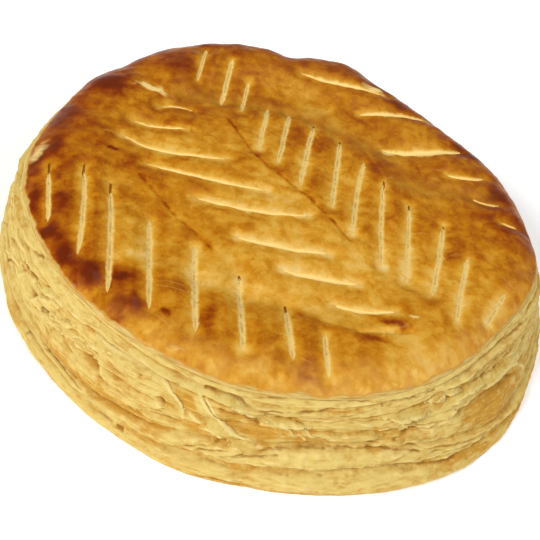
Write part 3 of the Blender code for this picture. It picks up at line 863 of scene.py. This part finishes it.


def draw_line(deep, half, *line):
    """Sinks a split, or raises a lip, along a line of angles and levels on the side, and marks a split for painted
    shade and a lip for a painted highlight.
    """
    angles, levels = np.reshape(line, (-1, 2)).T
    middle, reach = (angles.min() + angles.max()) / 2, np.ptp(angles) / 2 + 3
    columns = np.flatnonzero(np.abs(turned(side_angle[0], middle)) < reach)
    u = np.radians(turned(side_angle[:, columns], angles[0])) * SIDE_RADIUS / MM
    v = side_level[:, columns] * TOP_LEVEL / MM + 0.3 * soft_noise(u / 3, angles[0], 69)
    stops = np.stack([np.radians(angles - angles[0]) * SIDE_RADIUS, levels / 100 * TOP_LEVEL], axis=1) / MM
    apart = np.min([along_run(u, v, *start, *end) for start, end in zip(stops, stops[1:])], axis=0)
    trace = bell(apart, 1.1 * half) * np.clip(0.85 + 0.5 * soft_noise(u / 4, levels[0] / 2, 70), 0.3, 1.2)
    side_height[:, columns] -= 0.75 * deep * MM * trace
    drawn_shading[:, columns] += np.sign(deep) * trace


def blurred(field, reach):
    """The field averaged twice over its neighbours, reach steps each way; it wraps round."""
    steps = range(-reach, reach + 1)
    for _ in range(2):
        wide = sum(np.roll(field, step, axis=1) for step in steps) / len(steps)
        tall = np.pad(wide, ((reach, reach), (0, 0)), mode="edge")
        field = sum(tall[reach + step : reach + step + len(field)] for step in steps) / len(steps)
    return field


print("a sharp ridge is averaged down to", blurred(np.eye(9), 1)[4, 4].round(2))

# %% All the splits, pockets and lumps
split_at = 0.0  # fine splits that run all round, one over the other
while split_at < TOP_LEVEL / MM:
    split_at += rng.uniform(*SPLIT_GAP)
    wander = sum(high * round_noise(side_angle, 1.7 * split_at, waves, seed)
                 for high, waves, seed in SPLIT_WANDER)
    opened = np.clip(1.6 * round_noise(side_angle, 2.3 * split_at, 23, 54) + 0.35, 0, 1)
    # Few of them open in the broad folds or near the foot.
    opened = opened * (1 - 0.7 * bell(side_share - 0.67, 0.09)) * (1 - 0.6 * bell(side_share - 0.07, 0.07))
    split = opened * bell(side_share * TOP_LEVEL / MM - split_at - wander, SPLIT_HALF)
    side_height -= SPLIT_DEPTH * MM * split
    # Each fine split gets a little painted shade.
    drawn_shading += 0.22 * split
for angle, level, wide, high, deep, golden in POCKETS:
    ragged = 1 + 0.25 * soft_noise(side_angle / 3 + angle, side_level * 12, 71)
    pocket = bell(turned(side_angle, angle) * ragged, wide) * bell((100 * side_level - level) * ragged, high)
    side_height -= deep * MM * pocket
    side_gold += golden * pocket
for line in DRAWN:
    draw_line(*line)
for _ in range(FAR_SPLITS):
    angle, level, long = rng.uniform(-15, 200), rng.uniform(12, 92), rng.uniform(1.5, 9)
    end = (angle + long, level + rng.normal(0, 3))
    draw_line(rng.uniform(0.6, 1.6), rng.uniform(0.3, 0.55), angle, level, *end)
for waves, rows_high, tall, seed in LUMPINESS:
    side_height += tall * MM * round_noise(side_angle, side_level * rows_high, waves, seed)
side_height *= 1 - 0.25 * bell(turned(side_angle, -145), 25)  # flatter at the near left
# Painted shading: a place under the average of its neighbours is darkened as painted shade, one over it paled as a
# painted highlight.
side_hollow = blurred(side_height, 2) - side_height + 0.5 * (blurred(side_height, 5) - side_height)
print("hollows down to", (side_hollow.max() / MM).round(2), "mm, lips up to", (-side_hollow.min() / MM).round(2), "mm")

# %% [markdown]
# ## Rolling the side round the pie
#
# Now the flat patchwork is rolled up. Three grid primitives, one over the other so that none
# gets too heavy to edit, take the places worked out above. Each is folded back inside
# the pie and merged where its ends meet, so it is a closed ring.

# %% Bands of leaves
FOLDED_IN = 7 * MM  # how far inside the pie a band is folded back

under_rim = climb(SIDE_TOP - side_share, 0, 0.05)  # 0 where the side tucks in under the crust
at_foot = climb(side_share, 0, 0.10)  # the leaves lie flatter near the table
side_out = side_form(side_share, side_angle) + side_height * (0.25 + 0.75 * at_foot)
side_places = on_side(side_level, side_angle, under_rim * side_out - (1 - under_rim) * 0.7 * MM)
# Painted warm shade: places set back from their neighbours are made more golden and a little darker.
set_back = np.clip((blurred(side_out, 9) - side_out) / MM, -0.5, 0.9) * (1 - 0.7 * bell(side_share - 0.20, 0.12))
side_gold += 0.55 * set_back
side_hollow = 0.70 * side_hollow / MM + 0.45 * drawn_shading + 0.08 * set_back
side_notes = np.stack([side_hollow, side_gold, np.broadcast_to(side_share * 60, side_gold.shape)], axis=-1)


def leafy_band(name, first, last):
    """The rows from first to last of the unrolled side, as a closed ring."""
    inward = np.array([1 - FOLDED_IN / RIM_RADIUS, 1 - FOLDED_IN / RIM_RADIUS, 1])
    places, notes = side_places[first : last + 1], side_notes[first : last + 1]
    places = np.concatenate([places, places[-1:] * inward, places[:1] * inward, places[:1]])
    notes = np.concatenate([notes, notes[-1:], notes[:1], notes[:1]])
    places, notes = (np.concatenate([grid, grid[:, :1]], axis=1) for grid in (places, notes))
    rows, columns = places.shape[:2]
    band = grid_piece(name, columns - 1, rows - 1)
    move_points(band, places)
    note(band, hollow=notes[..., 0], gold=notes[..., 1], leaf=notes[..., 2])
    face_outwards(band, merged_within=1e-7)
    return band


bands = [leafy_band(name, number * BAND_STEPS, (number + 1) * BAND_STEPS) for number, name in enumerate(BANDS)]

# %% [markdown]
# ## Loose leaves
#
# Some leaf edges have come away and lean off the side, thin enough to throw a fine shadow.
# A height on a sheet can't overhang, so these are real thin sheets. Each starts as a grid
# primitive: one long edge is rooted in the side, the free edge follows a curve through three
# places, and Solidify gives the thickness of a leaf.

# %% Places of the loose leaves
LEAF_THICKNESS = 0.22 * MM
# Free edge as three places (angle, level), the root's side (1 over the edge, -1 under it), its
# distance in mm and how far the edge lifts in mm.
LOOSE_LEAVES = (
    (-105, 84.5, -98.5, 82, -96.5, 55, -1, 5, 1.2), (-95.5, 88.5, -92, 60, -83, 50.5, -1, 6, 1.7),
    (-93, 82, -86, 77, -78, 65.5, 1, 3.5, 1.3), (-82, 76, -79, 71, -76.5, 58.5, -1, 2.6, 1),
    (-79.5, 74, -76, 69, -73.2, 60, -1, 2.2, 0.9), (-62, 77.5, -56, 75, -50, 70, 1, 2.5, 1),
    (-60, 72, -57, 69, -54, 65.5, -1, 2, 0.8), (-58, 59.5, -54.5, 65, -50, 60, 1, 2.2, 1),
    (-51, 76.5, -47, 82.5, -42, 76, 1, 2.2, 1.1), (-45, 72, -40, 74.5, -35, 70.5, 1, 1.8, 0.8),
    (-118, 80, -109, 80.5, -101, 85, -1, 4.5, 0.8), (-134, 63, -129, 73, -121, 82, 1, 3, 0.9),
    (-149, 50, -143, 61, -136, 72, 1, 3.5, 1), (-152, 27, -148, 39, -143, 48, 1, 3, 0.8),
    (-81.5, 30, -78.5, 33.5, -76, 30.5, 1, 1.8, 0.6), (-75.7, 31, -73, 34.5, -70.3, 31.5, 1, 1.8, 0.6),
    (-69.7, 31, -66.5, 34, -64.2, 31, 1, 1.8, 0.7), (-64, 31.5, -62, 34.5, -58.5, 31, 1, 1.8, 0.6),
    (-57, 29.5, -50, 27.5, -44, 21.5, 1, 1.5, 0.5), (-46, 64, -32, 72, -18, 56, 1, 2.5, 0.9),
    (-72, 60, -67, 58, -61, 61, 1, 2.2, 0.7), (-128, 48, -124, 56, -118, 64, 1, 2.5, 0.7),
)
BACK_LEAVES = 60


def back_leaves(count, seed):
    """Loose leaves for the arc that has none listed."""
    rng = np.random.default_rng(seed)
    for _ in range(count):
        angle, level, long = rng.uniform(-18, 206), rng.uniform(25, 88), rng.uniform(5, 15)
        rise, bow = rng.normal(0, 4), rng.uniform(-3, 6)
        yield (angle, level, angle + long / 2, level + rise / 2 + bow, angle + long, level + rise,
               rng.choice([1, 1, -1]), rng.uniform(1.6, 4.0), rng.uniform(0.5, 1.2))


print(len(LOOSE_LEAVES), "loose leaves by hand and", BACK_LEAVES, "scattered")

# %% Loose leaves, rooted and joined


def side_out_at(angle, level):
    """How far the finished side stands out at these places."""
    column = np.round((angle + 90) % 360 * ROUND_STEPS / 360).astype(int) % ROUND_STEPS
    row = np.abs(side_level[:, column] - level).argmin(axis=0)
    return (under_rim * side_out)[row, column]


def loose_leaf(name, seed, *places, root_side, width, lift):
    """A thin sheet with one edge rooted in the side and a free edge through three places."""
    first, middle, last = np.reshape(places, (3, 2)) * (radians(1) * SIDE_RADIUS / MM, TOP_LEVEL / MM / 100)
    length = np.hypot(*(last - first))
    leaf = grid_piece(name, max(12, int(length / 0.45)), 7)
    u, v, _ = points_of(leaf).T
    t, out_along = (u + 0.5)[:, None], v + 0.5
    edge = (1 - t) ** 2 * first + 2 * t * (1 - t) * middle + t**2 * last
    run = 2 * (1 - t) * (middle - first) + 2 * t * (last - middle)
    run /= np.hypot(*run.T)[:, None]
    left = np.stack([-run[:, 1], run[:, 0]], axis=1)
    taper = np.clip(1 - (2 * t[:, 0] - 1) ** 4, 0, 1) ** 0.7
    along = u * length
    ragged = 0.35 * soft_noise(along / 3.5 + seed, 0, 81) + 0.15 * soft_noise(along / 1.2 + seed, 0, 82)
    inward = width * (1 - out_along) * (0.35 + 0.65 * taper) - ragged * out_along
    place = edge + root_side * left * inward[:, None]
    angle, level = np.degrees(place[:, 0] * MM / SIDE_RADIUS), np.clip(place[:, 1] * MM / TOP_LEVEL, 0.02, 0.97)
    wave = 0.25 * soft_noise(along / 5 + seed, out_along * 1.5, 83)
    lifted = -0.5 + 0.6 * np.minimum(1, 2.5 * out_along) * taper + (0.18 * lift * taper + 0.5 * wave) * out_along**1.6
    move_points(leaf, on_side(level, angle, side_out_at(angle, level) + MM * lifted))
    gold = 0.05 + 0.5 * (1 - out_along) + 0.3 * soft_noise(along / 6 + seed, out_along, 84)
    # Painted highlight: the free edge is marked to be paled, as a lit lip.
    note(leaf, hollow=-0.9 * bell(out_along - 1, 0.22) * taper, gold=gold, leaf=place[:, 1] + seed)
    thick = leaf.modifiers.new("Leaf", "SOLIDIFY")
    thick.thickness, thick.offset = LEAF_THICKNESS, 0
    bpy.ops.object.modifier_apply(modifier=thick.name)
    return leaf


made = []
for number, (*places, root_side, width, lift) in enumerate((*LOOSE_LEAVES, *back_leaves(BACK_LEAVES, 92))):
    made.append(loose_leaf(f"leaf_{number}", 1.7 * number, *places, root_side=root_side, width=width, lift=lift))
deselect()
for leaf in made:
    leaf.select_set(True)
bpy.context.view_layer.objects.active = leaves = made[0]
bpy.ops.object.join()
leaves.name = leaves.data.name = "loose_leaves"
face_outwards(leaves)

# %% [markdown]
# ## The baked base
#
# The underside lay on the baking sheet: flat, evenly browned, with shallow pits where steam was
# trapped. A grid primitive, drawn in to a disc, keeps its faces even. It is lifted a little
# in the pits and curls up at its edge, and an extrusion gives it a thickness.

# %% Baked base
BASE_STEPS = 150
BASE_INSET = 3.4 * MM  # how far the base stays inside the foot
BASE_THICKNESS = 0.9 * MM
BASE_CURL = 1.0 * MM
PIT_DEPTH = 0.35 * MM

base = grid_piece("baked_base", BASE_STEPS, BASE_STEPS, size=2)
u, v, _ = points_of(base).T
u, v = u * np.sqrt(1 - v**2 / 2), v * np.sqrt(1 - u**2 / 2)  # the square drawn in to a disc without a crease
out, spread = np.hypot(u, v), foot_radius(np.degrees(np.arctan2(v, u))) - BASE_INSET
x, y = u * spread, v * spread
pits = np.clip(dough(x, y, 9, 71) - 0.25, 0, 1) + 0.5 * np.clip(dough(x, y, 3, 72) - 0.3, 0, 1)
curl = BASE_CURL * climb(out, 0.965, 0.035) ** 1.5
move_points(base, np.stack([x, y, PIT_DEPTH * pits + curl], axis=1))
note(base, brown=0.25 + doughs(x, y, (30, 0.25, 73), (8, 0.2, 74)) - 0.35 * pits + 0.2 * out**4)
bpy.ops.object.mode_set(mode="EDIT")
bpy.ops.mesh.select_all(action="SELECT")
bpy.ops.mesh.extrude_region_move(TRANSFORM_OT_translate={"value": (0, 0, BASE_THICKNESS)})
face_outwards(base)

# %% [markdown]
# ## Writing materials as sums
#
# A finish is a web of nodes, and wiring it by hand hides what it means. A small class wraps
# one output of a node, so that sums and products of such outputs read as maths and add
# their own nodes. One method makes every other kind of node.

# %% Colours, and sums of nodes


def daylight(*seen):
    """A colour given from 0 to 255 as seen on a screen, turned into the linear light that shaders use."""
    seen = np.array(seen) / 255
    light = np.where(seen <= 0.04045, seen / 12.92, ((seen + 0.055) / 1.055) ** 2.4)
    return (*light.tolist(), 1.0)


class Strand:
    """One output of a node. Maths on strands adds the nodes that work it out."""

    def __init__(self, finish, socket):
        self.finish, self.socket = finish, socket

    def maths(self, operation, *values):
        return self.finish.add("ShaderNodeMath", {"operation": operation}, dict(enumerate(values)))

    def __add__(self, other):
        return self.maths("ADD", self, other)

    def __sub__(self, other):
        return self.maths("SUBTRACT", self, other)

    def __rsub__(self, other):
        return self.maths("SUBTRACT", other, self)

    def __mul__(self, other):
        return self.maths("MULTIPLY", self, other)

    __radd__, __rmul__ = __add__, __mul__

    def between(self, low, high):
        """0 below low, 1 above high, and a smooth climb from one to the other."""
        values = {"Value": self, "From Min": low, "From Max": high}
        return self.finish.add("ShaderNodeMapRange", {"interpolation_type": "SMOOTHSTEP"}, values)


print("middle grey as light:", round(daylight(128)[0], 3))

# %% Finishes


class Finish:
    """A material being made: a Principled surface and the nodes that feed it."""

    def __init__(self, name, **inputs):
        self.material = bpy.data.materials.new(name)
        self.material.use_nodes = True
        self.tree = self.material.node_tree
        self.surface = self.tree.nodes["Principled BSDF"]
        self.give(Subsurface_Radius=(1.0, 0.7, 0.4), **inputs)

    def give(self, **inputs):
        """Feeds the surface, each input named as its socket is."""
        for label, value in inputs.items():
            self.feed(self.surface.inputs[label.replace("_", " ")], value)
        return self.material

    def feed(self, socket, value):
        if isinstance(value, Strand):
            self.tree.links.new(value.socket, socket)
        else:
            socket.default_value = value

    def add(self, kind, settings=None, inputs=None, output=0):
        node = self.tree.nodes.new(kind)
        for name, value in (settings or {}).items():
            setattr(node, name, value)
        for socket, value in (inputs or {}).items():
            self.feed(node.inputs[socket], value)
        return Strand(self, node.outputs[output])

    def noted(self, name):
        """The number that the mesh stores under this name."""
        return self.add("ShaderNodeAttribute", {"attribute_name": name}, output="Fac")

    def place(self, *scale):
        """The place on the piece, stretched."""
        where = self.add("ShaderNodeTexCoord", output="Object")
        return self.add("ShaderNodeMapping", None, {"Vector": where, "Scale": scale or (1, 1, 1)})

    def leafwise(self, along, across):
        """A place that follows the leaves: round the pie by X and Y, and across them by their number."""
        where = self.add("ShaderNodeTexCoord", output="Object")
        parts = self.add("ShaderNodeSeparateXYZ", None, {"Vector": where}).socket.node.outputs
        x, y = (Strand(self, parts[axis]) * (along / MM) for axis in "XY")
        return self.add("ShaderNodeCombineXYZ", None, {"X": x, "Y": y, "Z": self.noted("leaf") * across})

    def noise(self, size, where=None, detail=3.0, roughness=0.55, swirl=0.0):
        """Noise from 0 to 1 with lumps of this size."""
        values = {"Vector": where or self.place(), "Scale": 1 / size, "Detail": detail, "Roughness": roughness,
                  "Distortion": swirl}
        return self.add("ShaderNodeTexNoise", None, values)

    def ramp(self, factor, stops):
        """A colour picked by a factor from stops, each a place on the scale and a colour as seen."""
        picked = self.add("ShaderNodeValToRGB", None, {"Fac": factor})
        ramp = picked.socket.node.color_ramp
        while len(ramp.elements) < len(stops):
            ramp.elements.new(1.0)
        for element, (place, *seen) in zip(ramp.elements, stops):
            element.position, element.color = place, daylight(*seen)
        return picked

    def coated(self, colour, *coats):
        """A colour with each coat (factor, colour) laid over it in turn."""
        for factor, coat in coats:
            values = {0: factor, 6: colour, 7: coat}
            colour = self.add("ShaderNodeMix", {"data_type": "RGBA"}, values, output=2)
        return colour

    def bump(self, height, strength, distance):
        return self.add("ShaderNodeBump", None, {"Height": height, "Strength": strength, "Distance": distance})


print("a finish can make:", ", ".join(name for name in vars(Finish) if not name.startswith("_")))

# %% [markdown]
# ## The glazed crust
#
# Egg wash bakes to a satin skin that runs from pale gold through amber to dark brown. The
# stored browning picks the colour, broken up by mottling and by the streaks of the brush, which
# ran from side to side. In the cuts the pastry is bare: cream, dull and ragged at the edges,
# with a darker line where the knife's tip went.

# %% Finish of the crust
BROWNING = ((0.00, 236, 202, 128), (0.14, 228, 180, 84), (0.28, 214, 156, 48), (0.43, 196, 128, 20),
            (0.57, 174, 100, 8), (0.71, 150, 70, 4), (0.85, 126, 46, 0), (1.00, 106, 34, 0))
CREAM, CUT_GOLD, WORN_CREAM = daylight(242, 211, 132), daylight(228, 184, 92), daylight(226, 195, 120)
EDGE_BROWN, PALE_EDGE = daylight(160, 120, 50), daylight(212, 182, 108)
# Painted shade: the slit colour is the shade down in a closed slit.
SLIT_SHADE, VALLEY_SHADE = daylight(122, 52, 10), daylight(158, 104, 34)
BORDER_GOLD, LINE_GOLD = daylight(212, 160, 84), daylight(200, 146, 62)


def glazed_crust():
    finish = Finish("glazed_crust", Subsurface_Weight=0.06, Subsurface_Scale=1.5 * MM, Coat_Roughness=0.14,
                    Specular_IOR_Level=0.05)
    brown, width, kind = finish.noted("brown"), finish.noted("openness"), finish.noted("kind")
    streaks = finish.noise(1.8 * MM, finish.place(0.35, 1.0, 1.0), detail=4.0, roughness=0.65)
    blotch = finish.noise(5.0 * MM, detail=5.0, swirl=0.4)
    specks = finish.noise(1.2 * MM, detail=4.0, roughness=0.6)
    spots = finish.noise(2.6 * MM, swirl=0.8).between(0.58, 0.68)
    fray = finish.noise(1.8 * MM, detail=4.0, roughness=0.6)
    patchy = blotch.between(0.42, 0.60) - 0.5
    tone = 0.20 * (blotch - 0.5) + 0.07 * patchy + 0.07 * spots + 0.04 * (streaks - 0.5) + 0.18 * (specks - 0.5)
    openness = width + 0.9 * (fray - 0.5)
    crisp, wrinkle = kind.between(0.0, 1.0), kind.between(1.1, 1.9)
    worn_cut = finish.coated(WORN_CREAM, (openness.between(0.10, 0.70), finish.coated(CREAM, (0.5, CUT_GOLD))),
                             (0.30 * specks.between(0.50, 0.66), EDGE_BROWN))
    crisp_cut = finish.coated(CREAM, (openness.between(0.5, 1.1), CUT_GOLD))
    cut_colour = finish.coated(worn_cut, (crisp, crisp_cut), (wrinkle, CUT_GOLD))
    tip = (1 - width.between(0.10, 0.36)) * (1 - crisp) * blotch.between(0.44, 0.56)
    # Painted shade in the closed slits.
    slit = (0 - kind).between(0.3, 0.9) * (1 - openness.between(0.8, 1.5))
    cut = (1 - openness.between(0.45, 1.2 + 0.15 * crisp)) * (1 - slit) * (1 - 0.75 * wrinkle)
    bare = (finish.noted("bare") + 0.5 * (streaks - 0.5)).between(0.25, 0.75)
    edge = (finish.noted("rim_fade") + 0.5 * (blotch - 0.5)).between(0.0, 1.0)
    leafy = finish.noise(1.0, finish.leafwise(0.10, 1.2), roughness=0.6).between(0.46, 0.62)
    # The valley note lays painted shade and a greyish painted sheen over the far valleys and the far side.
    colour = finish.coated(
        finish.ramp(brown + tone, BROWNING), (0.4 * finish.noted("valley"), VALLEY_SHADE),
        (0.40 * finish.noted("border"), BORDER_GOLD), (edge.between(0.0, 0.5), LINE_GOLD),
        (edge.between(0.35, 1.0), finish.coated(PALE_EDGE, (0.7 * leafy, EDGE_BROWN))), (bare, CREAM),
        (cut, cut_colour), (0.55 * tip * cut, EDGE_BROWN), (0.85 * slit, SLIT_SHADE))
    dull = cut.maths("MAXIMUM", cut, edge)
    layers = finish.noise(1.0 * MM, finish.place(0.12, 0.12, 2.2))
    relief = 0.15 * streaks + 0.5 * blotch + 0.4 * specks + 1.0 * edge * layers
    return finish.give(Base_Color=colour, Roughness=0.38 + 0.3 * dull + 0.08 * (streaks - 0.5),
                       Coat_Weight=(0.07 + 0.14 * brown.between(0.65, 0.95)) * (1 - dull),
                       Normal=finish.bump(relief, 0.45, 0.4 * MM))


crust_finish = glazed_crust()
print(crust_finish.name, len(crust_finish.node_tree.nodes), "nodes")

# %% [markdown]
# ## The flaky layers
#
# The leaves of the side never saw the glaze. They are cream where they are dry and thin, and gold
# where a broad leaf lies bare. Splits get a painted warm brown shade, places set back from their
# neighbours a painted golden shade, and lips a painted pale highlight. Fine lines follow the
# leaves, so the noise is squeezed in height and drawn out round the pie.

# %% Finish of the sides
LEAF_CREAM, LEAF_PALE = daylight(216, 189, 108), daylight(235, 210, 136)
# Painted shade: the darkest brown here stands for the shade down in the splits.
LEAF_GOLD, LEAF_AMBER, PAINTED_SHADE_BROWN = daylight(198, 148, 54), daylight(184, 132, 50), daylight(146, 95, 30)


def flaky_layers():
    finish = Finish("flaky_layers", Subsurface_Weight=0.12, Subsurface_Scale=1.5 * MM, Specular_IOR_Level=0.10)
    hollow = finish.noted("hollow")
    lines = finish.noise(1.0, finish.leafwise(0.2, 1.0), roughness=0.6)
    blotch = finish.noise(7 * MM, finish.place(1.0, 1.0, 1.8), detail=5.0, roughness=0.6)
    flecks = finish.noise(1.6 * MM, roughness=0.6)
    fibres = finish.noise(1.0, finish.leafwise(0.75, 0.09), roughness=0.6)
    # The stored gold also holds painted warm shade in set-back places.
    gold = 0.8 * finish.noted("gold") + 1.5 * (blotch - 0.47) + 0.4 * (flecks - 0.5) + 1.0 * (fibres - 0.5)
    gold = gold.between(0.0, 0.95)
    # Painted shade in the splits, from the stored shading with a little noise.
    painted_shade = hollow + 0.35 * (flecks - 0.5) + 0.25 * (lines - 0.5)
    # The pale mix from the stored shading is a painted highlight on lips, and the last, brown mix is painted shade in
    # splits.
    colour = finish.coated(
        LEAF_CREAM, (gold, LEAF_GOLD), (0.5 * (blotch + 0.5 * (lines - 0.5)).between(0.48, 0.76), LEAF_AMBER),
        (0.30 * lines.between(0.50, 0.64), LEAF_AMBER), (0.25 * (1 - lines.between(0.36, 0.48)), LEAF_PALE),
        (0.30 * fibres.between(0.52, 0.68) * (1 - gold), LEAF_PALE),
        (0.75 * (0.2 * (lines - 0.5) - hollow).between(0.12, 0.60), LEAF_PALE),
        (0.8 * painted_shade.between(0.08, 0.90), PAINTED_SHADE_BROWN))
    relief = finish.bump(0.6 * lines + 0.6 * flecks + 0.3 * fibres, 0.42, 0.35 * MM)
    return finish.give(Base_Color=colour, Roughness=0.52 + 0.2 * lines, Normal=relief)


side_finish = flaky_layers()
print(side_finish.name, len(side_finish.node_tree.nodes), "nodes")

# %% [markdown]
# ## The finish of the base
#
# Against the baking sheet the pastry browned evenly and dully, paler in the pits that did not
# touch it.

# %% Finish of the base
BASE_BROWNING = ((0.0, 232, 196, 112), (0.35, 206, 150, 62), (0.7, 160, 98, 34), (1.0, 110, 60, 22))


def dull_base():
    finish = Finish("dull_base", Roughness=0.7, Specular_IOR_Level=0.3)
    mottle, grain = finish.noise(4 * MM, detail=5.0, roughness=0.6), finish.noise(0.8 * MM, detail=2.0)
    brown = finish.noted("brown") + 0.5 * (mottle - 0.5) + 0.15 * (grain - 0.5)
    return finish.give(Base_Color=finish.ramp(brown, BASE_BROWNING),
                       Normal=finish.bump(mottle + 0.4 * grain, 0.4, 0.3 * MM))


base_finish = dull_base()
print(base_finish.name, len(base_finish.node_tree.nodes), "nodes")

# %% [markdown]
# ## Riding on the solid
#
# The pieces together stand for the one solid of the pie, and move with its body.

# %% Frame of the pieces
DRESS = ((crust, crust_finish, "browned_crust"), *((piece, side_finish, "flaky_layers") for piece in (*bands, leaves)),
         (base, base_finish, "browned_crust"))
for piece, finish, slot in DRESS:
    piece.data.materials.clear()
    piece.data.materials.append(finish)
    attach(piece, "root")
    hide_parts("galette")
print([piece.name for piece, _, _ in DRESS])

# %% [markdown]
# ## Table, light and camera
#
# A plain pale table and soft light from all sides, a little stronger from the near left, show
# a glossy thing without hard shadows. The table lies a hair under the base, so that the two
# never flicker. The camera looks down on the pie from the front, and is tilted to the side.

# %% Table
TABLE_SIZE, UNDER_BASE = 6.0, 0.05 * MM

deselect()
bpy.ops.mesh.primitive_plane_add(size=TABLE_SIZE, location=(0, 0, -UNDER_BASE))
table = bpy.context.object
table.name = table.data.name = "table"
pale = Finish("pale_table", Base_Color=(0.88, 0.88, 0.88, 1.0), Roughness=0.8, Specular_IOR_Level=0.2,
              Emission_Color=(1.0, 1.0, 1.0, 1.0), Emission_Strength=0.29)
table.data.materials.append(pale.material)
print("table of", TABLE_SIZE, "m")

# %% Light
LAMPS = (("near_left_lamp", (-2.95, -2.80, 2.80), 1.6, 174.0), ("near_right_lamp", (2.60, -1.60, 2.40), 2.0, 50.0),
         ("overhead_lamp", (0.40, 0.90, 3.40), 2.2, 18.0))  # place, size and power
LIT_MIDDLE = Vector((0, 0, 0.02))

world = bpy.context.scene.world = bpy.data.worlds.new("studio")
world.use_nodes = True
world.node_tree.nodes["Background"].inputs["Color"].default_value = (1.0, 0.99, 0.97, 1.0)
world.node_tree.nodes["Background"].inputs["Strength"].default_value = 0.27
for name, place, size, power in LAMPS:
    lamp = bpy.data.lights.new(name, "AREA")
    lamp.shape, lamp.size, lamp.energy = "DISK", size, power
    holder = linked(name, lamp)
    holder.location = place
    holder.rotation_euler = (LIT_MIDDLE - Vector(place)).to_track_quat("-Z", "Y").to_euler()
    print(name, power, "W")

# %% Camera
AIM = (-2.8 * MM, -36.0 * MM, 22.0 * MM)
DISTANCE, ELEVATION, TILT = 332.5 * MM, radians(44.24), radians(16.57)
back = Vector((0, -cos(ELEVATION), sin(ELEVATION)))
level_right, level_up = Vector((1, 0, 0)), Vector((0, sin(ELEVATION), cos(ELEVATION)))
right = level_right * cos(TILT) + level_up * sin(TILT)
up = level_up * cos(TILT) - level_right * sin(TILT)
camera = linked("camera", bpy.data.cameras.new("camera"))
camera.data.sensor_width, camera.data.lens = 36.0, 53.33
camera.data.clip_start, camera.data.clip_end = 0.01, 20.0
turned_to_aim = Matrix((right, up, back)).transposed().to_4x4()
camera.matrix_world = Matrix.Translation(Vector(AIM) + back * DISTANCE) @ turned_to_aim
bpy.context.scene.camera = camera
bpy.context.scene.view_settings.view_transform = "Standard"
print("camera at", [round(side / MM) for side in camera.matrix_world.translation], "mm")
